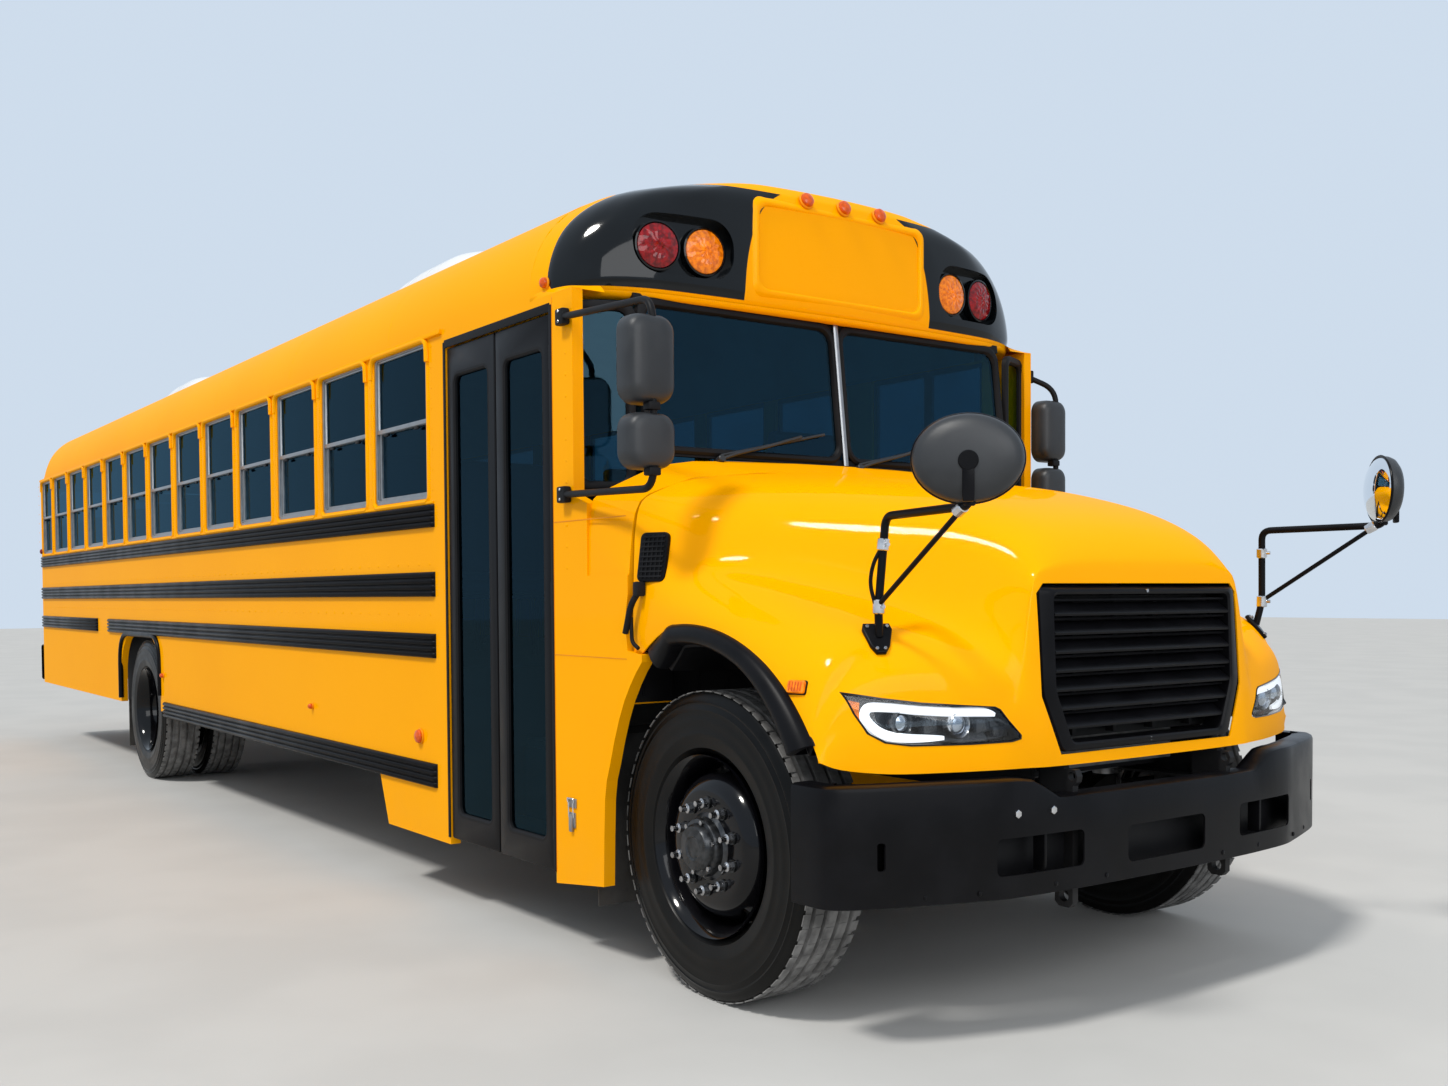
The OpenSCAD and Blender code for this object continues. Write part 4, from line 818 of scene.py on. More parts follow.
def headlights():
    """Clear cover over a white C-shaped light bar, two projectors and an amber corner."""
    bezel = Piece("headlight_housings", "hood_assembly")
    lens = Piece("headlight_covers", "hood_assembly")
    for side in SIDES:
        outline = ring_yz(LAMP_OUTLINE, 0)
        dense = []
        for a, b in zip(outline, outline[1:] + outline[:1]):
            for k in range(3):
                dense.append(a + (b - a) * k / 3)
        centre = sum(dense, Vector()) / len(dense)

        def spot(y, z, depth):
            return Vector((nose_x(side * y, z) - depth, side * y, z))

        def rings(steps):
            return [[spot(centre.y + (p.y - centre.y) * (1 - shrink * 0.45), centre.z + (p.z - centre.z)
                    * (1 - shrink * 1.6), depth) for p in dense] for shrink, depth in steps]

        rim = rings(((0.0, -0.002), (0.045, -0.003), (0.06, 0.004), (0.06, 0.06)))
        bezel.capped(rim, GLOSS_BLACK, LAMP_BLACK)
        lens.capped(rings(((0.05, 0.004), (0.06, 0.0005), (0.35, -0.002), (0.7, -0.003))), LENS)

        # light bar: along the top, down the outer side and back along the bottom
        bar = [(0.668, 0.968, 0.5), (0.7, 0.976, 1), (0.8, 0.98, 1), (0.9, 0.988, 1), (0.985, 0.998, 1),
            (1.036, 0.998, 1.1), (1.048, 0.972, 1.3), (1.03, 0.94, 1.3), (0.995, 0.917, 1.2),
            (0.94, 0.908, 1), (0.88, 0.906, 0.8), (0.835, 0.906, 0.5)]
        path = curve([spot(y, z, 0.018) for y, z, _ in bar], 46)
        widths = curve([(w, 0, 0) for _, _, w in bar], 46)
        verts, faces = [], []
        for k, p in enumerate(path):
            ahead = (path[min(k + 1, 45)] - path[max(k - 1, 0)]).normalized()
            out = ahead.cross(Vector((1, 0, 0))).normalized()
            half = 0.0135 * widths[k].x
            for s, d in ((-1, 0.0), (-0.8, 0.01), (0.8, 0.01), (1, 0.0)):
                verts.append(p + out * half * s + Vector((d, 0, 0)))
        for k in range(45):
            for j in range(4):
                j2 = (j + 1) % 4
                faces.append([k * 4 + j, k * 4 + j2, (k + 1) * 4 + j2, (k + 1) * 4 + j])
        faces += [[0, 1, 2, 3], [180, 183, 182, 181]]
        bezel.add(verts, faces, LED_WHITE)
        # amber strip along the outer side
        strip = [(1.088, 1.022), (1.082, 0.985), (1.064, 0.945), (1.046, 0.925), (1.052, 0.95),
            (1.064, 0.985), (1.06, 1.014)]
        bezel.capped([[spot(y, z, depth) for y, z in strip] for depth in (0.04, 0.01)], AMBER)
        # projectors
        for y, z, r in ((0.945, 0.952, 0.034), (0.775, 0.942, 0.038)):
            at = placed(spot(y, z, 0.052), 90, "Y")
            bezel.turned([(0, 0.034), (r * 0.35, 0.033), (r * 0.7, 0.026), (r * 0.84, 0.014),
                (r * 0.84, 0)], REFLECTOR, at, 36, closed=False)
            bezel.turned([(r * 0.9, 0.0), (r * 0.9, 0.026), (r * 1.02, 0.034), (r * 1.1, 0.028),
                (r * 1.12, 0.0)], BRIGHT if y < 0.8 else LAMP_BLACK, at, 36)
        # dark bezel steps between the projectors
        for y0, y1, z0, z1, d in ((0.66, 0.72, 0.915, 0.955, 0.045), (0.83, 0.885, 0.918, 0.97, 0.042),
                (0.6, 0.66, 0.9, 0.93, 0.05)):
            x = nose_x(side * (y0 + y1) / 2, (z0 + z1) / 2)
            bezel.box((x - 0.058, side * y0, z0), (x - d + 0.012, side * y1, z1), LAMP_BLACK, 0.004)
    bezel.done("headlights", slot="headlight_lens", sharp=30)
    lens.done(slot="headlight_lens", sharp=40)


def fender_markers():
    """Amber lamp on each front fender."""
    piece = Piece("fender_marker_lamps", "hood_assembly")
    for side in SIDES:
        point, normal = on_hood(0.534, side * 1.2, 1.066)
        at = frame_at(point, normal)
        piece.prism(rounded_rect(-0.033, 0.033, -0.022, 0.022, 0.007), "xy", -0.008, 0.004, SATIN_BLACK,
            0.002, matrix=at)
        piece.prism(rounded_rect(-0.03, 0.03, -0.0195, 0.0195, 0.007), "xy", 0.0, 0.016, AMBER, 0.006,
            matrix=at)
        for k in range(5):
            x = -0.02 + 0.01 * k
            piece.box((x - 0.002, -0.014, 0.014), (x + 0.002, 0.014, 0.0175), AMBER_DEEP, 0.001, at)
    piece.done(slot="amber_lens")


# (share of the oval, depth) from the rim inwards: the dished back and the domed glass
MIRROR_BACK = [(1.0, -0.006), (1.0, 0.006), (0.985, 0.018), (0.93, 0.032), (0.8, 0.044), (0.6, 0.052),
    (0.35, 0.056), (0.12, 0.058)]
MIRROR_DOME = [(0.97, -0.004), (0.9, -0.014), (0.7, -0.028), (0.4, -0.038), (0.12, -0.042)]


def crossover_mirrors():
    """Oval mirrors on bent tubes ahead of the hood, with a brace and silver clamps."""
    piece = Piece("crossover_mirror_arms", "hood_assembly")
    heads = Piece("crossover_mirror_heads", "hood_assembly")
    for side in SIDES:
        base, normal = on_hood(0.655, side * 0.966, 1.21)
        at = frame_at(base, normal)
        shield = [(-0.04, 0.052), (0.04, 0.052), (0.046, 0.03), (0.03, -0.03), (0.014, -0.056),
            (-0.014, -0.056), (-0.03, -0.03), (-0.046, 0.03)]
        piece.prism(shield, "xy", -0.004, 0.012, SATIN_BLACK, 0.006, 3, at)
        for x, y in ((-0.03, 0.038), (0.03, 0.038), (0.012, -0.042), (-0.012, -0.042)):
            piece.take(bolt_head(0.006, 0.005), NUT_STEEL, at @ Matrix.Translation((x, y, 0.012)))
        y = side * 0.972
        foot = base + Vector((0.004, 0, 0.01))
        piece.tube([foot, (0.657, side * 0.973, 1.29), (0.668, side * 0.953, 1.556),
            (1.09, side * 1.043, 1.56), (1.086, side * 1.04, 1.628)], 0.0125, SATIN_BLACK, 16, 0.035)
        piece.tube([(0.66, side * 0.975, 1.296), (1.045, side * 1.034, 1.548)], 0.008, SATIN_BLACK, 12)
        piece.tube([(0.655, side * 0.985, 1.3), (0.64, side * 0.992, 1.36), (0.648, side * 0.985, 1.42),
            (0.664, side * 0.962, 1.47)], 0.006, SATIN_BLACK, 10, 0.03)
        for p, q in (((0.657, y, 1.27), (0.658, y, 1.312)), ((0.663, side * 0.961, 1.455),
                (0.665, side * 0.958, 1.49))):
            piece.rod(p, q, 0.019, BRIGHT, 20, bevel=0.003)
            mid = (Vector(p) + Vector(q)) / 2
            piece.rod(mid, mid + Vector((0.03, side * 0.008, 0)), 0.006, BRIGHT, 12)
        piece.rod((1.03, side * 1.03, 1.546), (1.062, side * 1.036, 1.562), 0.018, BRIGHT, 18, bevel=0.003)
        # head: a dished back and a domed glass, turned so that the glass faces the driver
        turn = placed((1.077, side * 1.036, 1.686), side * 45, "Z")

        def oval(share, depth):
            spins = [2 * math.pi * j / 48 for j in range(48)]
            return [turn @ Vector((depth, 0.148 * share * math.cos(t), 0.118 * share * math.sin(t)))
                    for t in spins]

        for steps, mat in ((MIRROR_BACK, PLASTIC_BLACK), (MIRROR_DOME, MIRROR)):
            heads.capped([oval(share, depth) for share, depth in steps], mat)
        rim = oval(1.0, -0.004)
        heads.tube(rim + rim[:1], 0.0045, SATIN_BLACK, 8)
        # boss and clamp that hold the head to the tube
        heads.rod(turn @ Vector((0.05, 0, -0.01)), turn @ Vector((0.063, 0, -0.01)), 0.027, SATIN_BLACK, 24,
            bevel=0.003)
        heads.box((0.046, -0.016, -0.118), (0.062, 0.016, 0.004), SATIN_BLACK, 0.006, turn)
        heads.rod((1.086, side * 1.04, 1.56), (1.086, side * 1.04, 1.625), 0.017, SATIN_BLACK, 18,
            bevel=0.004)
    piece.done("crossover_mirrors", slot="black_plastic")
    heads.done(slot="black_plastic", sharp=40)


def bolt_head(r, h):
    """A hexagon head with a chamfer, standing on its Z = 0 plane."""
    bm = bmesh.new()
    spins = [math.pi * k / 3 for k in range(6)]
    rings = []
    for radius, z in ((r, 0), (r, h * 0.75), (r * 0.82, h)):
        rings.append([bm.verts.new((radius * math.cos(t), radius * math.sin(t), z)) for t in spins])
    for a, b in zip(rings, rings[1:]):
        for k in range(6):
            bm.faces.new([a[k], a[(k + 1) % 6], b[(k + 1) % 6], b[k]])
    bm.faces.new(rings[-1])
    bm.faces.new(list(reversed(rings[0])))
    return bm


# ---------------------------------------------------------------- roof cap and body shell

SILL, HEAD = 1.755, 2.44
SPRING_Z = 2.46
ROOF_TOP = 2.99
CORNER_R = 0.42
CORNER_Y = HALF_W - CORNER_R
CROWN_H = ROOF_TOP - SPRING_Z
CROWN_R = (CORNER_Y ** 2 + CROWN_H ** 2 - CORNER_R ** 2) / (2 * (CROWN_H - CORNER_R))
CROWN_TURN = math.atan2(CORNER_Y, CROWN_R - CROWN_H)
CAP_JOINT = -1.01
REAR_JOINT = -10.602
CAP_BOTTOM = 2.452
CAP_PLAN = [(-1.01, 1.219), (-0.9, 1.208), (-0.825, 1.18), (-0.769, 1.138), (-0.712, 1.068), (-0.668, 0.96),
    (-0.642, 0.84), (-0.624, 0.6), (-0.613, 0.3), (-0.608, 0.0)]
# how far forward the cap's face reaches at each height
CAP_PROFILE = [(2.44, -0.64), (2.462, -0.616), (2.51, -0.608), (2.85, -0.608), (2.902, -0.62),
    (2.942, -0.655), (2.968, -0.728), (2.984, -0.85), (2.99, -1.005)]


def roof_half_width(z):
    """Half width of the body at a height."""
    if z <= SPRING_Z:
        return HALF_W
    joint_z = SPRING_Z + CORNER_R * math.cos(CROWN_TURN)
    if z < joint_z:
        return CORNER_Y + math.sqrt(max(0.0, CORNER_R ** 2 - (z - SPRING_Z) ** 2))
    return math.sqrt(max(0.0, CROWN_R ** 2 - (z - ROOF_TOP + CROWN_R) ** 2))


def roof_section(wall, corner, crown):
    """The roof line from the windows' head on the left to the centre line, in that many steps."""
    points = [(HALF_W, HEAD + (SPRING_Z - HEAD) * k / wall) for k in range(wall)]
    for k in range(corner):
        t = k / corner * (math.pi / 2 - CROWN_TURN)
        points.append((CORNER_Y + CORNER_R * math.cos(t), SPRING_Z + CORNER_R * math.sin(t)))
    for k in range(crown + 1):
        t = CROWN_TURN * (1 - k / crown)
        points.append((CROWN_R * math.sin(t), ROOF_TOP - CROWN_R + CROWN_R * math.cos(t)))
    return points


def along_plan(share):
    """The cap's plan at its widest level."""
    plan = [Vector((x, y, 0)) for x, y in CAP_PLAN]
    return curve_at(plan, share * (len(plan) - 1) * 0.99999)


def cap_point(share, z, lift=0.0):
    """A point of the cap's face on the left: share is 0 at the roof joint and 1 on the centre line."""
    p = along_plan(share)
    front = linear(CAP_PROFILE, z)
    reach = (front - CAP_JOINT) / (CAP_PLAN[-1][0] - CAP_JOINT)
    x = CAP_JOINT + (p.x - CAP_JOINT) * reach
    y = p.y * roof_half_width(z) / HALF_W
    if lift:
        run = along_plan(min(1.0, share + 0.01)) - along_plan(max(0.0, share - 0.01))
        out = Vector((-run.y, run.x, 0)).normalized()
        x += out.x * lift
        y += out.y * lift
    return Vector((x, max(0.0, y), z))


CAP_LEVELS = [2.44, 2.447, 2.456, 2.468, 2.485, 2.51, 2.56, 2.62, 2.68, 2.74, 2.8, 2.84]
CAP_LEVELS += [2.84 + 0.15 * math.sin(math.radians(90 * k / 22)) for k in range(1, 23)]


LAMP_Z = 2.634
# distance from the centre line, turn outwards, lens and centre of each warning lamp; the red lamp's bright
# glowing centre is a painted glint
WARNING_LAMPS = ((0.657, 4, AMBER, AMBER), (0.855, 9, RED_LENS, RED_GLINT))


def lamp_pocket(side, grow=0.0):
    """The recess that the warning lamps sit in, as a cutter."""
    pocket = Piece("pocket")
    at = cap_point(cap_share(0.755), LAMP_Z)
    turn = placed((at.x, side * at.y, LAMP_Z), side * 7, "Z")
    outline = rounded_rect(-0.212 - grow, 0.212 + grow, -0.11 - grow, 0.118 + grow, 0.1 + grow, 8)
    pocket.prism(outline, "yz", -0.055, 0.2, GLOSS_BLACK, matrix=turn)
    return pocket


def front_cap():
    """Fibreglass cap over the windshield, cut open for the black lamp panels, with a drip edge and a framed
    centre panel.
    """
    piece = Piece("front_cap_shell")
    rows = []
    for z in CAP_LEVELS:
        half = [cap_point(k / 40, min(z, ROOF_TOP - 1e-4)) for k in range(41)]
        rows.append(both_halves(half))
    piece.shell(rows, offset_rows(rows, SHEET), YELLOW)
    piece.cut(lamp_pocket(-1, 0.012), lamp_pocket(1, 0.012))
    # drip edge and soffit under the cap
    brow = []
    for z, back in ((2.452, -0.004), (2.44, -0.002), (2.43, 0.01), (2.432, 0.06), (2.44, 0.075)):
        half = []
        for k in range(41):
            p = cap_point(k / 40, CAP_BOTTOM)
            half.append(Vector((p.x - back, p.y * (1 - back * 0.5), z)))
        brow.append(both_halves(half))
    piece.grid(brow, YELLOW)
    piece.done("roof_caps", slot="yellow_paint", sharp=45)

    # raised frame on the centre panel
    trim = Piece("front_cap_centre_panel")
    outline = rounded_rect(-0.425, 0.425, 2.52, 2.842, 0.045, 6)

    rings = []
    for grow, lift in ((0.0, 0.0), (0.004, 0.009), (0.012, 0.012), (0.024, 0.01), (0.034, 0.0)):
        ring = []
        for y, z in outline:
            y += math.copysign(grow, y)
            z += math.copysign(grow, z - 2.68)
            ring.append(Vector((cap_point(cap_share(abs(y)), z, lift - 0.001).x, y, z)))
        rings.append(ring)
    trim.grid(rings, YELLOW, close_ring=True)
    trim.done(slot="yellow_paint", sharp=60)


def cap_share(y):
    """Where on the cap's plan the face has that distance from the centre line."""
    low, high = 0.2, 1.0
    for _ in range(30):
        mid = (low + high) / 2
        if cap_point(mid, 2.65).y > y:
            low = mid
        else:
            high = mid
    return (low + high) / 2


def lamp_panels():
    """Gloss black panels with a recess for a red and an amber warning lamp."""
    inner_share = cap_share(0.476)
    for side, label in SIDE_NAMES:
        panel = Piece("lamp_panel_" + label)
        low, high = 2.466, 2.902
        count, levels = 34, 22
        front, back = [], []
        for j in range(levels + 1):
            t = j / levels
            z = low + (high - low) * t
            # the panel's outer end is cut round at its top
            outer = 0.115 + 0.16 * max(0.0, (t - 0.45) / 0.55) ** 2.2 + 0.03 * max(0.0, 1 - t * 8) ** 2
            front.append([])
            back.append([])
            for i in range(count + 1):
                share = outer + (inner_share - outer) * (i / count)
                edge = min(i, count - i, j, levels - j)
                lift = 0.005 if edge > 0 else 0.001
                p = cap_point(share, z, lift)
                q = cap_point(share, z, -0.075)
                front[-1].append(Vector((p.x, side * p.y, p.z)))
                back[-1].append(Vector((q.x, side * q.y, q.z)))
        panel.shell(front, back, GLOSS_BLACK)
        panel.cut(lamp_pocket(side))
        panel.done(slot="black_trim", sharp=40)

        lamps = Piece("warning_lamps_" + label)
        for y, turn, lens_colour, core in WARNING_LAMPS:
            p = cap_point(cap_share(y), LAMP_Z)
            at = placed((p.x - 0.054, side * y, LAMP_Z), side * turn, "Z") @ placed(ORIGIN, 90, "Y")
            lamps.take(faceted_lens(0.084), lens_colour, at @ Matrix.Translation((0, 0, 0.02)))
            lamps.turned([(0.083, 0.0), (0.083, 0.026), (0.087, 0.032), (0.093, 0.03), (0.096, 0.0)],
                GLOSS_BLACK, at, 48)
            # small centre piece; on the red lamp its bright glow is a painted glint
            lamps.take(faceted_lens(0.02), core, at @ Matrix.Translation((0, 0, 0.034)))
        lamps.done(slot="amber_lens", sharp=8)


def faceted_lens(r, spokes=28):
    """A shallow lens of alternating facets, facing +Z."""
    bm = bmesh.new()
    rings = []
    for k, (share, h) in enumerate(((1.0, 0.0), (0.98, 0.01), (0.8, 0.014), (0.6, 0.02), (0.38, 0.021),
            (0.18, 0.026))):
        ring = []
        for j in range(spokes):
            t = 2 * math.pi * (j + 0.5 * (k % 2)) / spokes
            bump = (0.0022 if (j + k) % 2 else 0.0) * (1 if k > 1 else 0) * (r / 0.084)
            ring.append(bm.verts.new((r * share * math.cos(t), r * share * math.sin(t), (h + bump) * r
                / 0.084)))
        rings.append(ring)
    for k, (a, b) in enumerate(zip(rings, rings[1:])):
        for j in range(spokes):
            n = (j + 1) % spokes
            if k % 2:
                bm.faces.new([a[j], b[n], b[j]])
                bm.faces.new([a[j], a[n], b[n]])
            else:
                bm.faces.new([a[j], a[n], b[j]])
                bm.faces.new([a[n], b[n], b[j]])
    top = bm.verts.new((0, 0, 0.025 * r / 0.084))
    for j in range(spokes):
        bm.faces.new([rings[-1][j], rings[-1][(j + 1) % spokes], top])
    return bm


def small_lamp(piece, at, r, mat):
    """Round clearance lamp on a deep yellow seat, facing +Z of its matrix."""
    piece.turned([(0, 0), (r * 1.15, 0), (r * 1.18, 0.004), (r * 1.05, 0.008), (0, 0.008)], YELLOW_DEEP, at,
        28, closed=False)
    piece.turned([(r, 0.006), (r, 0.014), (r * 0.9, 0.02), (r * 0.62, 0.025), (r * 0.3, 0.0275),
        (0, 0.028)], mat, at, 28, closed=False)


def marker_lamps():
    """Clearance, side and rear lamps of the body."""
    piece = Piece("marker_lamps")
    for x, y in ((-0.612, 0.0), (-0.614, 0.194), (-0.614, -0.194)):
        small_lamp(piece, placed((x, y, 2.89), 72, "Y"), 0.029, AMBER_DEEP)
    for side in SIDES:
        for x, z, mat, r in ((-2.068, 0.71, AMBER_DEEP, 0.03), (-3.448, 0.758, AMBER_DEEP, 0.014),
                (-6.47, 0.786, AMBER_DEEP, 0.016), (-10.86, 1.78, RED_LENS, 0.024)):
            small_lamp(piece, placed((x, side * HALF_W, z), -90 * side, "X"), r, mat)
        small_lamp(piece, placed((-0.905, side * 1.205, 2.492), -90 * side, "X"), 0.02, AMBER_DEEP)
        for z, mat in ((1.24, RED_LENS), (1.47, AMBER)):
            at = placed((-10.912, side * 0.96, z), -90, "Y")
            piece.take(faceted_lens(0.08), mat, at @ Matrix.Translation((0, 0, 0.01)))
            piece.turned([(0.079, 0.0), (0.079, 0.016), (0.084, 0.022), (0.092, 0.016), (0.094, 0.0)],
                SATIN_BLACK, at, 40)
    piece.done("exterior_lamps", slot="amber_lens", sharp=25)


def rear_cap():
    """The roof rounds down to the rear wall, with its own pair of warning lamps on each side."""
    piece = Piece("rear_cap_shell")
    profile = [(REAR_JOINT, 0.0), (-10.66, 0.003), (-10.72, 0.012), (-10.78, 0.03), (-10.83, 0.054),
        (-10.87, 0.084), (-10.895, 0.118), (-10.908, 0.15), (-10.91, 0.185)]
    rows = []
    for x, inset in profile:
        half = []
        for y, z in roof_section(7, 15, 14):
            shrink = 1 - inset / HALF_W * min(1.0, max(0.0, (z - HEAD) / 0.16) * 0.9 + 0.1)
            half.append(Vector((x, y * shrink, HEAD + (z - HEAD) * (1 - inset / 0.55))))
        rows.append(both_halves(half))
    piece.shell(rows, offset_rows(rows, SHEET), YELLOW)
    piece.face(rows[-1], YELLOW)
    for side in SIDES:
        plate = rounded_rect(0.545, 0.965, 2.53, 2.74, 0.04)
        piece.prism([(side * y, z) for y, z in plate], "yz", -10.925, -10.905, GLOSS_BLACK, 0.004)
        for y, mat in ((0.657, AMBER), (0.855, RED_LENS)):
            at = placed((-10.925, side * y, LAMP_Z), -90, "Y")
            piece.take(faceted_lens(0.084), mat, at)
    for y in (-0.2, 0, 0.2):
        small_lamp(piece, placed((-10.9, y, 2.815), -70, "Y"), 0.026, RED_LENS)
    piece.done(slot="yellow_paint", sharp=35)


def firewall_painted_shade():
    """Black sheet on the front of the firewall, seen above the front tyres: painted shade, standing for the
    deep shade there.
    """
    piece = Piece("firewall_shade_sheet")
    piece.box((-0.3995, -1.168, 0.955), (-0.3935, 1.168, 1.385), MATT_BLACK, 0.002)
    for side in SIDES:
        for k in range(5):
            y = side * (0.64 + 0.12 * k)
            piece.box((-0.394, y - 0.004, 0.975), (-0.3895, y + 0.004, 1.365), MATT_BLACK, 0.001)
    piece.done(slot="black_trim", sharp=35)


def pillar_shoulders():
    """Sloped shoulder between the top of each front pillar and the cap."""
    piece = Piece("front_pillar_shoulders")
    for side in SIDES:
        foot = curve([(-0.99, 1.219, 0), (-0.86, 1.219, 0), (-0.74, 1.219, 0), (-0.696, 1.212, 0),
            (-0.694, 1.15, 0), (-0.694, 1.08, 0)], 25)
        rows = []
        for t in (0.0, 0.15, 0.4, 0.7, 1.0):
            z = 2.436 + 0.03 * math.sin(math.pi * t / 2)
            row = []
            for k, p in enumerate(foot):
                top = cap_point(0.02 + 0.4 * k / 24, 2.47, -0.002)
                q = p.lerp(top, t)
                row.append(Vector((q.x, side * q.y, z)))
            rows.append(row)
        piece.grid(rows, YELLOW)
    piece.done(slot="yellow_paint", sharp=70)


# ---------------------------------------------------------------- wheels and tyres

TYRE_SIDE = [(0.284, 0.062), (0.292, 0.085), (0.301, 0.097), (0.306, 0.112), (0.318, 0.12), (0.322, 0.1255),
    (0.33, 0.1265), (0.35, 0.1318), (0.362, 0.1335), (0.37, 0.135), (0.374, 0.1338), (0.4, 0.1365),
    (0.42, 0.136), (0.44, 0.134), (0.446, 0.1352), (0.452, 0.1322), (0.464, 0.129), (0.47, 0.1305),
    (0.476, 0.1262), (0.484, 0.1235), (0.494, 0.12), (0.501, 0.1145)]


def tyre(name, centres, body, x):
    """Road tyres with shoulder rings, four circular grooves and cut tread, one for each centre plane."""
    piece = Piece(name, body)
    z = WHEEL_R
    near, far = [(r, -w) for r, w in TYRE_SIDE], TYRE_SIDE[::-1]
    crown = [(0.5035, -0.108)]
    for g in (-0.078, -0.028, 0.028, 0.078):
        crown += [(0.5068, g - 0.0075), (0.4925, g - 0.005), (0.4925, g + 0.005), (0.5068, g + 0.0075)]
    crown.append((0.5035, 0.108))
    seat = [far[-1], (0.288, 0.03), (0.288, -0.03), near[0]]
    for y in centres:
        # the crown takes the light tread grey: painted light falling on the tread
        for profile, mat in ((near + crown[:1], TYRE), (crown, LIT_TREAD), (crown[-1:] + far, TYRE),
                (seat, RUBBER)):
            piece.lathe(profile, (x, y, z), mat, segments=120, closed=False)
        # cut shoulder blocks and the zigzag of the ribs
        count = 60
        for k in range(count):
            turn = placed((x, y, z), 360 * k / count, "Y")
            for s in SIDES:
                piece.box((0.5045, s * 0.088, -0.0185), (0.508, s * 0.116, 0.0185), LIT_TREAD, 0.0, turn)
            for row, ribs in enumerate((-0.053, 0.0, 0.053)):
                shift = Matrix.Rotation(math.pi * ((k + row) % 2) / count * 0.3, 4, "Y")
                piece.box((0.505, ribs - 0.0165, -0.0195), (0.508, ribs + 0.0165, 0.0195), LIT_TREAD, 0.0,
                    turn @ shift)
    piece.done(name, slot="tyre", sharp=28)


# (radius, offset) outlines of the rims and discs, with the offset running outwards
RIM_END = [(0.28, 0.096), (0.272, 0.06), (0.262, 0.03), (0.262, -0.075), (0.28, -0.098)]
RIM_INSIDE = [(0.296, -0.131), (0.276, -0.105), (0.256, -0.08), (0.256, 0.028), (0.266, 0.066),
    (0.276, 0.102)]
FRONT_RIM = [(0.294, 0.128), (0.2995, 0.1325), (0.2995, 0.13), (0.2995, 0.121), (0.292, 0.112), *RIM_END,
    (0.292, -0.112), (0.2995, -0.121), (0.2995, -0.13), *RIM_INSIDE]
REAR_RIM = [(0.294, 0.128), (0.2995, 0.1325), (0.2995, 0.121), (0.29, 0.112), *RIM_END, (0.29, -0.112),
    (0.2995, -0.121), (0.2995, -0.13), *RIM_INSIDE]
FRONT_DISC = [(0.2555, 0.01), (0.2555, 0.034), (0.246, 0.062), (0.232, 0.088), (0.214, 0.108),
    (0.196, 0.118), (0.184, 0.121), (0.11, 0.121), (0.098, 0.119), (0.098, 0.108), (0.18, 0.108),
    (0.206, 0.098), (0.224, 0.078), (0.238, 0.05), (0.244, 0.01)]
REAR_DISC = [(0.2555, 0.03), (0.25, 0.004), (0.238, -0.03), (0.218, -0.072), (0.196, -0.108),
    (0.178, -0.126), (0.16, -0.132), (0.112, -0.132), (0.112, -0.144), (0.164, -0.144), (0.186, -0.138),
    (0.206, -0.118), (0.228, -0.08), (0.246, -0.036), (0.2555, 0.006)]


def disc_wheel(piece, centre, s, rim, face, first, ring_r, depth, lean, reach, bore):
    """Rim and disc facing s, with five hand holes bored along a leaning axis from first degrees on."""
    piece.lathe([(r, s * w) for r, w in rim], centre, WHEEL_BLACK, segments=96)
    disc = Piece("disc")
    disc.lathe([(r, s * w) for r, w in face], centre, WHEEL_BLACK, segments=96)
    holes = Piece("holes")
    for k in range(5):
        t = math.radians(72 * k + first)
        c = Vector(centre) + Vector((ring_r * math.cos(t), s * depth, ring_r * math.sin(t)))
        out = Vector((math.cos(t) * lean[0], s * lean[1], math.sin(t) * lean[0])).normalized()
        holes.rod(c - out * reach[0], c + out * reach[1], bore, WHEEL_BLACK, 28)
    disc.cut(holes)
    piece.take(disc.bm, WHEEL_BLACK)


def front_wheel(name, side, body):
    """Steel disc wheel with hand holes, ten long studs and a greased hub cap."""
    piece = Piece(name, body)
    centre = (0, side * FRONT_TRACK, WHEEL_R)
    disc_wheel(piece, centre, side, FRONT_RIM, FRONT_DISC, 18, 0.221, 0.0, (0.55, 0.83), (0.02, 0.25),
        0.036)
    hub(piece, centre, side, 0.121)
    piece.done(name, slot="wheel_black", sharp=35)


# washer, nut, chamfer and thread of a wheel stud: start and end from the disc, radius, finish,
# sides and end radius
STUD = ((-0.01, 0.006, 0.0205, HUB_STEEL, 20, None), (0.004, 0.026, 0.0165, NUT_STEEL, 6, None),
    (0.026, 0.03, 0.0165, NUT_STEEL, 20, 0.011), (0.02, 0.05, 0.0105, NUT_STEEL, 16, 0.0095))


def hub(piece, centre, side, face):
    """Studs, nuts and hub cap on the disc's flat face."""
    cx, cy, cz = centre
    for k in range(10):
        t = 2 * math.pi * (k + 0.5) / 10
        x, z = cx + 0.143 * math.cos(t), cz + 0.143 * math.sin(t)
        for start, end, r, mat, sides, r2 in STUD:
            piece.rod((x, cy + side * (face + start), z), (x, cy + side * (face + end), z), r, mat, sides,
                r2)
    profile = [(0.116, face - 0.03), (0.116, face - 0.004), (0.106, face + 0.004), (0.098, face + 0.01),
        (0.096, face + 0.03), (0.092, face + 0.036), (0.08, face + 0.038), (0.076, face + 0.052),
        (0.07, face + 0.06), (0.04, face + 0.063), (0.034, face + 0.058), (0.0, face + 0.058)]
    piece.lathe([(r, side * w) for r, w in profile], centre, HUB_STEEL, segments=48, closed=False)
    for k in range(6):
        t = 2 * math.pi * (k + 0.25) / 6
        x, z = cx + 0.086 * math.cos(t), cz + 0.086 * math.sin(t)
        piece.rod((x, cy + side * (face + 0.034), z), (x, cy + side * (face + 0.046), z), 0.0085, NUT_STEEL,
            6)


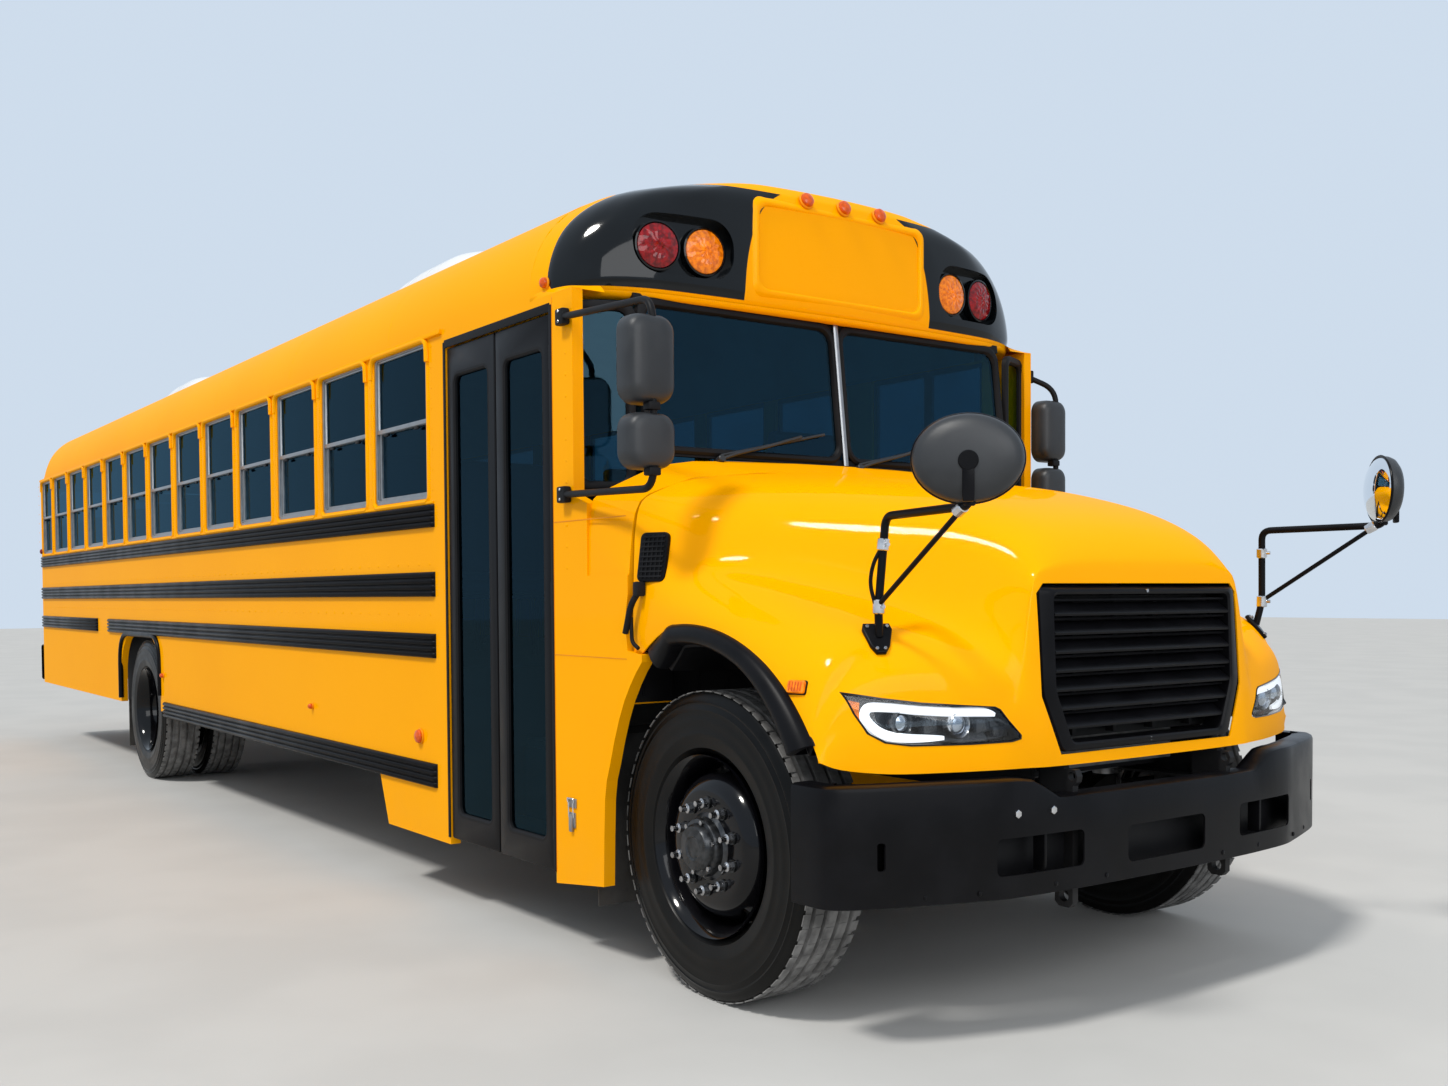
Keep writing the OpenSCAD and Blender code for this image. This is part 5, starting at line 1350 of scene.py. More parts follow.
def rear_wheel(name, side, body):
    """Twin rear wheels: the outer one shows its dished disc and the axle flange in the middle."""
    piece = Piece(name, body)
    for y, turned in zip(REAR_TRACKS, (1, -1)):
        disc_wheel(piece, (REAR_AXLE, side * y, WHEEL_R), side * turned, REAR_RIM, REAR_DISC, 54, 0.214,
            -0.075, (-0.5, 0.86), (0.06, 0.06), 0.034)
    centre = (REAR_AXLE, side * REAR_TRACKS[0], WHEEL_R)
    hub(piece, centre, side, -0.13)
    flange = [(0.0, 0.03), (0.06, 0.03), (0.075, 0.022), (0.09, 0.0), (0.094, -0.08), (0.094, -0.14)]
    piece.lathe([(r, side * w) for r, w in flange], centre, HUB_STEEL, segments=48, closed=False)
    piece.done(name, slot="wheel_black", sharp=35)


def running_gear():
    """Tyres and wheels of both axles."""
    for side, label in SIDE_NAMES:
        body = "wheel_front_" + label + "_assembly"
        tyre("tyre_front_" + label, [side * FRONT_TRACK], body, 0)
        front_wheel("wheel_front_" + label, side, body)
        body = "wheel_rear_" + label + "_assembly"
        tyre("tyre_rear_" + label, [side * y for y in REAR_TRACKS], body, REAR_AXLE)
        rear_wheel("wheel_rear_" + label, side, body)


# ---------------------------------------------------------------- bumpers and mud flaps

BUMPER_PLAN = [(0.56, 1.228), (0.68, 1.226), (0.722, 1.204), (0.762, 1.148), (0.802, 1.06), (0.848, 0.935),
    (0.888, 0.82), (0.922, 0.703), (0.94, 0.513), (0.948, 0.35), (0.952, 0.18), (0.953, 0.0)]


BUMPER_LOW = 0.435


def bumper_top(y):
    """Height of the bumper's upper edge: the ends stand higher than the middle."""
    return linear([(0.0, 0.722), (0.5, 0.722), (0.6, 0.778), (0.66, 0.785), (1.3, 0.785)], abs(y))


def front_bumper():
    """Pressed steel channel with a top flange, high ends and slots in its face."""
    piece = Piece("front_bumper")
    plan = [Vector((x, y, 0)) for x, y in BUMPER_PLAN]
    half = [curve_at(plan, i * (len(plan) - 1) / 60 * 0.99999) for i in range(61)]
    line = both_halves(half)
    levels = [(0.0, 0.06), (0.0, 0.016), (0.004, 0.006), (0.012, 0.0), (0.5, 0.0), (0.955, 0.0),
        (0.985, 0.004), (1.0, 0.014), (1.0, 0.075)]
    rows = []
    for share, back in levels:
        row = []
        for i, p in enumerate(line):
            a, b = line[max(0, i - 1)], line[min(len(line) - 1, i + 1)]
            run = (b - a).normalized()
            q = p + Vector((run.y, -run.x, 0)) * back
            row.append(Vector((q.x, q.y, BUMPER_LOW + (bumper_top(p.y) - BUMPER_LOW) * share)))
        rows.append(row)
    piece.shell(rows, offset_rows(rows, SHEET), SATIN_BLACK)
    holes = Piece("slots")
    holes.prism(rounded_rect(-0.198, 0.198, 0.49, 0.605, 0.022), "yz", 0.5, 1.2, SATIN_BLACK)
    for side in SIDES:
        holes.prism([(side * y, z) for y, z in rounded_rect(0.4, 0.745, 0.505, 0.615, 0.018)], "yz", 0.5,
            1.2, SATIN_BLACK)
        holes.prism([(side * y, z) for y, z in rounded_rect(1.075, 1.098, 0.545, 0.625, 0.008)], "yz", 0.5,
            1.2, SATIN_BLACK)
    piece.cut(holes)
    # crossmember behind the openings
    beam = []
    for z in (0.44, 0.445, 0.66, 0.665):
        row = []
        for p in line[12:-12]:
            edge = 0.004 if z in (0.44, 0.665) else 0.0
            row.append(Vector((min(p.x, 0.952) - 0.075 - edge, p.y * 0.98, z)))
        beam.append(row)
    piece.shell(beam, [[Vector((p.x - 0.004, p.y, p.z)) for p in r] for r in beam], MATT_BLACK)
    for side in SIDES:
        # post in the side slot and bolt heads along the lower edge of the face
        piece.box((0.88, side * 0.545, 0.5), (0.925, side * 0.556, 0.62), SATIN_BLACK, 0.003)
        for y in (0.3, 0.52, 0.8, 0.96):
            at = placed((half_x(half, y) - 0.001, side * y, 0.462), 90, "Y")
            piece.take(bolt_head(0.008, 0.004), SATIN_BLACK, at)
    for y in (0.675, 0.535):
        piece.take(bolt_head(0.013, 0.009), BRIGHT, placed((half_x(half, y) - 0.001, -y, 0.685), 90, "Y"))
    # rear channel bumper
    rear = [(-11.06, 0.0), (-11.06, 1.12), (-11.045, 1.17), (-11.01, 1.2), (-10.92, 1.213)]
    line = [Vector((x, y, 0)) for x, y in rear]
    half_r = [curve_at(line, i * 4 / 24 * 0.99999) for i in range(25)]
    line = [Vector((p.x, -p.y, 0)) for p in reversed(half_r[1:])] + half_r
    rows = []
    for z, back in ((0.555, 0.05), (0.555, 0.01), (0.56, 0.003), (0.57, 0.0), (0.865, 0.0), (0.875, 0.003),
            (0.88, 0.01), (0.88, 0.09)):
        rows.append([Vector((min(p.x + back, -10.915), p.y * (1 - back * 0.4), z)) for p in line])
    piece.shell(rows, offset_rows(rows, SHEET), SATIN_BLACK)
    piece.done("bumpers", slot="chassis_black", sharp=40)


def half_x(half, y):
    """Bumper face position at a distance from the centre line."""
    return min(half, key=lambda p: abs(p.y - y)).x


def mud_flaps():
    """Rubber flaps behind all four wheels, each hung from a steel bar."""
    piece = Piece("mud_flap_set")
    for side in SIDES:
        for x, inner, outer, low, high in ((-0.63, 0.86, 1.165, 0.2, 0.85),
                (-7.745, 0.59, 1.165, 0.18, 0.76)):
            lo, hi = sorted((side * inner, side * outer))
            rows = []
            for j in range(13):
                z = low + (high - low) * j / 12
                wave = 0.0012 * (1 - j / 12)
                rows.append([Vector((x - 0.0015 + wave * math.sin(i * 0.9), lo + (hi - lo) * i / 16, z))
                    for i in range(17)])
            back = [[Vector((p.x - 0.006, p.y, p.z)) for p in r] for r in rows]
            piece.shell(rows, back, FLAP_RUBBER)
            piece.box((x - 0.01, lo, high - 0.03), (x, hi, high), CHASSIS, 0.002)
    piece.done("mud_flaps", slot="black_rubber", sharp=35)


# ---------------------------------------------------------------- windshield, wipers and side mirrors


def screen_x(z):
    """Windshield plane: it leans back above the cowl."""
    return -0.602 - 0.115 * max(0.0, z - 1.85)


def windshield():
    """Two flat panes and two corner panes in black rubber, with a silver post in the middle."""
    frame_piece = Piece("windshield_rubber")
    glass = Piece("windshield_panes")
    for side in SIDES:
        # rubber seal round each main pane
        outer = rounded_rect(0.012, 0.962, 1.856, 2.436, 0.07, 8)
        inner = rounded_rect(0.036, 0.928, 1.884, 2.4, 0.055, 8)
        rings = []
        for share, lift in ((0, -0.022), (0, 0.002), (0.35, 0.01), (0.75, 0.008), (1, -0.004), (1, -0.022)):
            outline = mid_outline(outer, inner, share)
            rings.append([Vector((screen_x(z) + lift, side * y, z)) for y, z in outline])
        frame_piece.grid(rings + rings[:1], RUBBER, close_ring=True)
        pane = rounded_rect(0.03, 0.934, 1.878, 2.406, 0.055, 8)
        front = [Vector((screen_x(z) - 0.006, side * y, z)) for y, z in pane]
        back = [Vector((p.x - 0.006, p.y, p.z)) for p in front]
        glass.face(front, SCREEN)
        glass.face(back, SCREEN)
        # corner pane between the pillar and the main pane, turned back
        a = Vector((-0.64, 0.985))
        run = Vector((-0.728, 1.196)) - a
        out = Vector((run.y, -run.x)).normalized()
        rings = []
        for share, lift in ((0.0, -0.016), (0.0, 0.004), (0.35, 0.01), (0.75, 0.008), (1.0, -0.002),
                (1.0, -0.014)):
            m = 0.034 * share
            outline = rounded_rect(m, run.length - m, 1.712 + m, 2.404 - m, 0.05 - 0.02 * share, 6)
            ring = []
            for s, z in outline:
                p = a + run.normalized() * s + out * lift
                ring.append(Vector((p.x, side * p.y, z)))
            rings.append(ring)
        frame_piece.grid(rings + rings[:1], RUBBER, close_ring=True)
        glass.face(rings[-1], SCREEN)
    # post between the panes
    section = [(-0.012, 0.0), (-0.012, 0.006), (-0.0072, 0.01), (0.0072, 0.01), (0.012, 0.006),
        (0.012, 0.0)]
    ends = [[Vector((screen_x(z) + lift, y, z)) for y, lift in section] for z in (1.85, 2.44)]
    frame_piece.grid(ends, ALUMINIUM, close_ring=True)
    for end in ends:
        frame_piece.face(end, ALUMINIUM)
    # header board above the panes and sill board below them
    for z0, z1 in ((2.412, 2.446), (1.846, 1.872)):
        for side in SIDES:
            board = [(screen_x(z0) - 0.03, z0), (screen_x(z0) - 0.004, z0), (screen_x(z1) - 0.004, z1),
                (screen_x(z1) - 0.03, z1)]
            frame_piece.prism(board, "xz", side * 0.01, side * 0.97, MATT_BLACK)
    frame_piece.done("windshield_frame", slot="black_rubber", sharp=40)
    glass.done(slot="glass", sharp=40)


def mid_outline(a, b, t):
    """The outline that lies a share t of the way from a to b."""
    return [(p[0] + (q[0] - p[0]) * t, p[1] + (q[1] - p[1]) * t) for p, q in zip(a, b)]


def wipers():
    """Two arms, each with its blade and rubber."""
    piece = Piece("wiper_pair")
    for y in (-0.64, 0.06):
        base = Vector((-0.585, y, 1.842))
        tip = Vector((screen_x(1.965) + 0.022, y + 0.4, 1.952))
        piece.rod(base + Vector((-0.03, 0, -0.01)), base + Vector((0.014, 0, 0.005)), 0.015, PLASTIC_BLACK,
            20, bevel=0.003)
        piece.tube([base, base.lerp(tip, 0.16) + Vector((0.012, 0, 0.006)), base.lerp(tip, 0.55)
            + Vector((0.01, 0, 0)), tip], 0.0068, PLASTIC_BLACK, 10, 0.03)
        middle = base.lerp(tip, 0.62)
        blade_a = Vector((screen_x(1.915) + 0.012, middle.y - 0.24, middle.z - 0.052))
        blade_b = Vector((screen_x(1.99) + 0.014, middle.y + 0.28, middle.z + 0.06))
        piece.tube([blade_a, blade_a.lerp(blade_b, 0.5) + Vector((0.003, 0, 0)), blade_b], 0.0062,
            PLASTIC_BLACK, 10)
        piece.tube([blade_a + Vector((-0.005, 0, -0.002)), blade_b + Vector((-0.005, 0, -0.002))], 0.0035,
            RUBBER, 8)
    piece.done("wipers", slot="black_plastic", sharp=40)


# (share of the outline, depth) from the rim of each mirror glass to its middle
CONVEX_GLASS = ((0.955, -0.053), (0.7, -0.057), (0.35, -0.0595), (0.02, -0.06))
FLAT_GLASS = ((0.955, -0.053), (0.7, -0.054), (0.35, -0.0545), (0.02, -0.0546))


def side_mirrors():
    """A flat and a convex mirror on one bent tube at each front corner."""
    piece = Piece("side_mirror_pair")
    glass = Piece("side_mirror_glass")
    for side, px, py, inner, outer in ((-1, -0.04, 1.3, 0.085, 0.095), (1, -0.64, 1.33, 0.095, 0.065)):
        low, high = 1.67, 2.275
        foot = HALF_W + 0.018
        piece.tube([(-0.73, side * foot, low + 0.025), (px, side * py, low), (px, side * py, high),
            (-0.728, side * foot, high + 0.06)], 0.0125, MATT_BLACK, 16, 0.075)
        for z in (low + 0.025, high + 0.06):
            piece.box((-0.762, side * (HALF_W + 0.002), z - 0.03), (-0.704, side * (HALF_W + 0.034),
                z + 0.03), MATT_BLACK, 0.008)
            for dz in (-0.018, 0.018):
                at = placed((-0.733, side * (HALF_W + 0.034), z + dz), -90 * side, "X")
                piece.take(bolt_head(0.006, 0.004), NUT_STEEL, at)
        y0, y1 = sorted((side * (py - inner), side * (py + outer)))
        for z0, z1, dome in ((low + 0.062, low + 0.242, CONVEX_GLASS),
                (low + 0.27, high - 0.05, FLAT_GLASS)):
            cy, cz = (y0 + y1) / 2, (z0 + z1) / 2

            def level(wide, tall, r, x):
                w, h = (y1 - y0) / 2 * wide, (z1 - z0) / 2 * tall
                return ring_yz(rounded_rect(cy - w, cy + w, cz - h, cz + h, min(r, w * 0.98), 7), px + x)

            # housing: rounded shell, deepest in the middle, open towards the driver
            rows = []
            for share, x in ((1.0, -0.066), (1.0, -0.04), (0.985, -0.02), (0.95, -0.004), (0.88, 0.01),
                    (0.76, 0.018), (0.55, 0.0225), (0.28, 0.0245), (0.02, 0.025)):
                tall = 1 - (1 - share) * 0.55 if share > 0.5 else share * 1.3
                rows.append(level(share, tall, 0.045 * share + 0.01, x))
            back = [level(share, share, 0.045, x) for share, x in ((0.955, -0.052), (0.97, -0.066))]
            piece.capped(back + rows, PLASTIC_BLACK)
            glass.capped([level(share, share, 0.045 * share, x) for share, x in dome], MIRROR)
            # clamp block on the tube
            piece.box((px - 0.02, cy - 0.022, z0 - 0.022), (px + 0.02, cy + 0.022, z0 + 0.004), MATT_BLACK,
                0.006)
    piece.done("side_mirrors", slot="black_plastic", sharp=35)
    glass.done(slot="glass", sharp=30)


# ---------------------------------------------------------------- side windows, mouldings and rails

BAYS = [(max(-2.555 - 0.7 * i, -10.829), -1.965 - 0.7 * i) for i in range(13)]


def sash(piece, glass, x0, x1, z0, z1, side):
    """A drop window: fixed upper pane, lower sash set further in, and the frame around them."""
    face, back = HALF_W - 0.004, HALF_W - 0.028

    def ring(a, b, c, d, width, y_out, y_in, r=0.012):
        outer = rounded_rect(a, b, c, d, r, 4)
        inner = rounded_rect(a + width, b - width, c + width, d - width, max(0.004, r * 0.7), 4)
        rings = []
        for share, y in ((0, y_in), (0, y_out - 0.002), (0.12, y_out), (0.88, y_out), (1, y_out - 0.002),
                (1, y_in)):
            rings.append(ring_xz(mid_outline(outer, inner, share), side * y))
        piece.grid(rings + rings[:1], ALUMINIUM, close_ring=True)

    rail = z0 + (z1 - z0) * 0.485
    ring(x0, x1, z0, z1, 0.017, face, back, 0.022)
    ring(x0 + 0.017, x1 - 0.017, rail - 0.004, z1 - 0.017, 0.01, face - 0.006, back)
    ring(x0 + 0.019, x1 - 0.019, z0 + 0.017, rail + 0.016, 0.016, face - 0.014, back - 0.006)
    piece.box((x0 + 0.02, side * (face - 0.001), rail - 0.002), (x1 - 0.02, side * (face - 0.014),
        rail + 0.018), ALUMINIUM, 0.003)
    middle = (x0 + x1) / 2
    for dx in (-0.17, 0.17):
        piece.box((middle + dx - 0.022, side * (face - 0.012), rail - 0.018),
            (middle + dx + 0.022, side * face, rail - 0.006), MATT_BLACK, 0.003)
    for a, b, c, d, y in ((x0 + 0.024, x1 - 0.024, rail + 0.006, z1 - 0.024, face - 0.015),
            (x0 + 0.03, x1 - 0.03, z0 + 0.028, rail + 0.004, face - 0.024)):
        corners = [(a, c), (b, c), (b, d), (a, d)]
        for depth in (0.0, 0.004):
            glass.face(ring_xz(corners, side * (y - depth)), WINDOW)


def side_windows():
    """Windows of both sides, and the two fixed windows beside the rear door."""
    for side, label in SIDE_NAMES:
        piece, glass = Piece("window_frames_" + label), Piece("window_panes_" + label)
        for x0, x1 in BAYS:
            sash(piece, glass, x0, x1, SILL, HEAD, side)
        if side > 0:
            sash(piece, glass, -1.74, -1.34, 1.6, HEAD, side)
            sash(piece, glass, -1.34, -0.96, 1.6, HEAD, side)
            for y0, y1 in ((0.6, 1.06), (-1.06, -0.6)):
                glass.face(ring_yz(rounded_rect(y0 + 0.004, y1 - 0.004, 1.774, 2.356, 0.05), -10.886),
                    WINDOW)
                rings = []
                for grow, x in ((0.0, -10.886), (0.0, -10.912), (-0.01, -10.92), (-0.024, -10.92),
                        (-0.03, -10.911)):
                    outline = rounded_rect(y0 + grow, y1 - grow, 1.77 + grow, 2.36 - grow, 0.05 - grow)
                    rings.append(ring_yz(outline, x))
                piece.grid(rings, RUBBER, close_ring=True)
        # the pieces on the right stand for the CAD nodes of both sides
        sashes, panes = (["window_sashes"], ["window_glass"]) if side < 0 else ([], [])
        piece.done(*sashes, slot="sash_aluminium", sharp=40)
        glass.done(*panes, slot="glass", sharp=40)


def window_mouldings():
    """A bead and a hooded drip moulding round each window, and a rib along the head and the sill."""
    piece = Piece("window_mouldings")
    for side in SIDES:
        for x0, x1 in BAYS:
            # bead round the opening, with ends that curve down
            rings = []
            for grow, lift in ((-0.01, -0.006), (-0.006, 0.004), (0.002, 0.008), (0.01, 0.006),
                    (0.016, 0.0)):
                ring = rounded_rect(x0 - 0.012 - grow, x1 + 0.012 + grow, SILL - 0.012 - grow,
                    HEAD - 0.006 + grow * 0.4, 0.034 + grow, 7)
                rings.append([Vector((x, side * (HALF_W + lift), z)) for x, z in ring])
            piece.grid(rings, YELLOW, close_ring=True)
            y = side * (HALF_W + 0.004)
            piece.tube([(x0 - 0.02, y, HEAD - 0.095), (x0 - 0.016, y, HEAD + 0.003),
                (x1 + 0.016, y, HEAD + 0.003), (x1 + 0.02, y, HEAD - 0.095)], 0.0135, YELLOW, 10, 0.055)
        for z, h, d, front in ((2.452, 0.01, 0.014, -1.8), (1.737, 0.007, 0.006, -1.9)):
            piece.box((-10.89, side * (HALF_W - 0.004), z - h), (front, side * (HALF_W + d), z + h), YELLOW,
                0.004)
    piece.box((-1.8, HALF_W - 0.004, 2.442), (-0.88, HALF_W + 0.012, 2.462), YELLOW, 0.004)
    piece.done(slot="yellow_paint", sharp=40)


def rivet_lines():
    """Flush rivet heads along the panel joints and posts."""
    piece = Piece("body_rivets")
    for side in SIDES:
        spots = [(-1.91 - 0.7 * k, 1.79 + 0.088 * j) for k in range(14) for j in range(8)]
        spots += [(-1.95 - 0.116 * k, z) for k in range(77) for z in (1.47, 1.25)]
        spots += [(-0.745, 1.43 + 0.078 * j) for j in range(12)]
        for x, z in spots:
            piece.take(rivet(0.0062, 0.0022), YELLOW, placed((x, side * HALF_W, z), -90 * side, "X"))
    piece.done(slot="yellow_paint", sharp=50)


def rivet(r, h):
    """A low domed head standing on its Z = 0 plane."""
    bm = bmesh.new()
    spins = [math.pi * k / 4 for k in range(8)]
    rings = []
    for share, z in ((1.0, 0.0), (0.75, 0.7)):
        rings.append([bm.verts.new((r * share * math.cos(t), r * share * math.sin(t), h * z))
            for t in spins])
    for j in range(8):
        bm.faces.new([rings[0][j], rings[0][(j + 1) % 8], rings[1][(j + 1) % 8], rings[1][j]])
    top = bm.verts.new((0, 0, h))
    for j in range(8):
        bm.faces.new([rings[1][j], rings[1][(j + 1) % 8], top])
    return bm


def rail_section(z0, z1):
    """Section of a rub rail: four rounded ridges with valleys between them."""
    h = z1 - z0
    shape = [(0.0, 0.0), (0.004, 0.01)]
    for k in range(4):
        start = 0.03 + 0.2475 * k
        shape += [(start + 0.02, 0.0165), (start + 0.06, 0.0195), (start + 0.13, 0.0195),
            (start + 0.17, 0.0165)]
        if k < 3:
            shape += [(start + 0.195, 0.008), (start + 0.22, 0.008)]
    shape += [(0.996, 0.01), (1.0, 0.0)]
    return [(z0 + h * s, d) for s, d in shape]


def rub_rails():
    """Four lengths of ribbed rail on each side."""
    piece = Piece("rub_rail_set")
    runs = [((1.629, 1.727), -10.88, -1.893), ((1.328, 1.436), -10.88, -1.893),
        ((1.061, 1.167), -8.121, -1.893), ((1.061, 1.167), -10.88, -8.518),
        ((0.497, 0.601), -6.453, -1.893)]
    for side in SIDES:
        for (z0, z1), x0, x1 in runs:
            section = rail_section(z0, z1)
            rows = []
            for x, share in ((x0, 0.0), (x0 + 0.004, 0.55), (x0 + 0.014, 1.0), (x1 - 0.014, 1.0),
                    (x1 - 0.004, 0.55), (x1, 0.0)):
                rows.append([Vector((x, side * (HALF_W + d * share), z)) for z, d in section])
            piece.grid(rows, SATIN_BLACK)
    piece.done("rub_rails", slot="chassis_black", sharp=45)


def roof_shell():
    """Smooth roof between the caps, with the joints of its sheets."""
    piece = Piece("roof_shell")
    section = roof_section(4, 32, 28)
    full = section + [(-y, z) for y, z in reversed(section[:-1])]
    rows = []
    joints = [REAR_JOINT + (CAP_JOINT - REAR_JOINT) * k / 7 for k in range(8)]
    for a, b in zip(joints, joints[1:]):
        for x, lift in ((a, -0.001), (a + 0.003, 0.0), (a + 0.006, 0.0), (b - 0.006, 0.0),
                (b - 0.003, 0.0)):
            scale = 1 + lift / HALF_W
            rows.append([Vector((x, y * scale, z + lift)) for y, z in full])
    rows.append([Vector((joints[-1], y, z)) for y, z in full])
    inner = [[Vector((p.x, p.y * (1 - 0.045 / HALF_W), HEAD + (p.z - HEAD) * (1 - 0.045 / 0.55)))
        for p in r] for r in rows]
    for sheet, mat in ((rows, YELLOW), (inner, LINING), ([rows[0], inner[0]], YELLOW),
            ([rows[-1], inner[-1]], YELLOW)):
        piece.grid(sheet, mat)
    piece.done("roof", slot="yellow_paint", sharp=40)


# height of an air conditioner cover along its length, from front to back, as shares
AIR_COVER_HEIGHT = [(0.0, 0.0), (0.02, 0.35), (0.05, 0.58), (0.1, 0.8), (0.17, 0.93), (0.26, 1.0),
    (0.55, 0.97), (0.72, 0.86), (0.86, 0.66), (0.95, 0.4), (0.985, 0.2), (1.0, 0.0)]


def roof_units():
    """Two low streamlined air conditioner covers with a grey panel and an air slot in front."""
    piece = Piece("roof_air_covers")
    for cx in (-3.42, -8.5):
        rows = []
        for s in range(25):
            t = s / 24
            x = cx + 0.62 - 1.42 * t
            height = linear(AIR_COVER_HEIGHT, t)
            width = 0.6 * (1 - 0.16 * (1 - min(1.0, t / 0.35)) ** 2 - 0.05 * max(0.0, (t - 0.7) / 0.3) ** 2)
            row = []
            for k in range(33):
                u = -1 + 2 * k / 32
                y = width * u
                edge = (1 - abs(u) ** 7) ** 0.5
                roof_z = ROOF_TOP - CROWN_R + math.sqrt(CROWN_R ** 2 - y * y)
                row.append(Vector((x, y, roof_z + (3.183 - roof_z) * max(0.01, height) * edge)))
            rows.append(row)
        piece.grid(rows, WHITE)
        piece.grid([[p + Vector((0.004, 0, 0.004)) for p in row[9:24]] for row in rows[2:8]], GREY_PANEL)
        piece.grid([[p + Vector((0.006, 0, 0.006)) for p in row[11:22]] for row in rows[3:5]], LAMP_BLACK)
    piece.done("roof_air_conditioners", slot="white_cover", sharp=50)


def arch_bands():
    """Black rubber band round each rear wheel arch, and the seams of the sheets beside the cowl."""
    piece = Piece("rear_arch_bands")
    for side in SIDES:
        y = side * (HALF_W + 0.004)
        piece.tube([(-7.738, y, 0.56), (-7.738, y, 1.06), (-6.557, y, 1.06), (-6.557, y, 0.64)], 0.019,
            SATIN_BLACK, 12, 0.33)
    piece.done(slot="black_rubber", sharp=60)
    seams = Piece("cowl_side_seams")
    for side in SIDES:
        near, far = side * (HALF_W - 0.001), side * (HALF_W + 0.0012)
        for z in (1.6, 1.111):
            seams.box((-0.842, near, z - 0.0018), (-0.34, far, z + 0.0018), YELLOW_DEEP)
        seams.box((-0.8435, near, 0.3), (-0.8405, far, 2.43), YELLOW_DEEP)
    seams.done(slot="yellow_paint", sharp=60)


# ---------------------------------------------------------------- doors and stop arm

LEAF_Z = (0.299, 2.373)
LEAF_W = 0.4405


def door_leaf(name, hinge_x, way, body, node):
    """A black framed leaf with a tall glass and a rubber edge. way is the direction from its hinge."""
    piece, glass = Piece(name + "_frame", body), Piece(name + "_glass", body)

    low, high = LEAF_Z
    width = LEAF_W
    a, b, c, d = 0.052, width - 0.058, low + 0.1, high - 0.11

    def outline(grow, r, steps=6):
        """The opening's outline, grown by a margin."""
        return [(hinge_x + way * s, z) for s, z in rounded_rect(a - grow, b + grow, c - grow, d + grow, r,
                steps)]

    rim = [(hinge_x + way * s, z) for s, z in rounded_rect(0.0, width, low, high, 0.012, 3)]
    panel = Piece("leaf")
    panel.prism(rim, "xz", -1.2145, -1.1815, SATIN_BLACK, 0.004)
    holes = Piece("leaf_holes")
    holes.prism(outline(0.0, 0.045), "xz", -1.3, -1.1, SATIN_BLACK)
    panel.cut(holes)
    piece.take(panel.bm, SATIN_BLACK)
    # rubber seal with a rounded lip round the glass
    rings = []
    for grow, y in ((0.006, -1.212), (0.004, -1.2146), (-0.006, -1.2149), (-0.014, -1.209),
            (-0.014, -1.19)):
        rings.append(ring_xz(outline(grow, 0.045 + grow), y))
    piece.grid(rings, RUBBER, close_ring=True)
    glass.face(ring_xz(outline(0.004, 0.045), -1.199), WINDOW)
    # soft edge seals
    edge = hinge_x + way * (width - 0.004)
    piece.tube([(edge, -1.198, low + 0.01), (edge, -1.198, high - 0.01)], 0.0045, RUBBER, 10)
    for z in (low + 0.16, (low + high) / 2, high - 0.16):
        piece.rod((hinge_x + way * 0.007, -1.2095, z - 0.045), (hinge_x + way * 0.007, -1.2095, z + 0.045),
            0.0054, CHASSIS, 14, bevel=0.001)
    piece.done(node, slot="black_trim", sharp=35)
    glass.done(slot="glass", sharp=40)


def entry_doors():
    """The two leaves of the entry door, hinged at its outer edges."""
    door_leaf("front_leaf", -0.871, -1, "door_leaf_front", "entry_door_front")
    door_leaf("rear_leaf", -1.76, 1, "door_leaf_rear", "entry_door_rear")


def skirt_latch():
    """Small steel draw latch low on the pillar ahead of the door."""
    piece = Piece("skirt_latches")
    for side in SIDES:
        out = side * (HALF_W + 0.001)

        def slab(x0, z0, x1, z1, thick, bevel):
            piece.box((-0.72 + x0, out, 0.528 + z0), (-0.72 + x1, out + side * thick, 0.528 + z1), STEEL,
                bevel)

        slab(-0.024, -0.045, 0.024, 0.01, 0.004, 0.001)
        slab(-0.03, 0.028, 0.03, 0.062, 0.004, 0.001)
        slab(-0.01, -0.06, 0.01, 0.004, 0.012, 0.003)
        for x in (-0.016, 0.016):
            piece.tube([(-0.72 + x, out + side * 0.007, 0.52), (-0.72 + x, out + side * 0.009, 0.575)],
                0.0025, BRIGHT, 8)
        piece.tube([(-0.742, out + side * 0.008, 0.576), (-0.742, out + side * 0.01, 0.59),
            (-0.698, out + side * 0.01, 0.59), (-0.698, out + side * 0.008, 0.576)], 0.003, BRIGHT, 8,
            0.008)
    piece.done(slot="steel", sharp=40)


def door_surround():
    """Black header and edge strips round the entry door."""
    piece = Piece("door_surround")
    for x0, x1, z0, z1 in ((-1.772, -0.859, 2.377, 2.41), (-1.786, -1.767, 0.3, 2.402),
            (-0.862, -0.845, 0.3, 2.402)):
        piece.box((x0, -1.2225, z0), (x1, -1.2175, z1), RUBBER, 0.0015)
    piece.done(slot="black_trim", sharp=35)


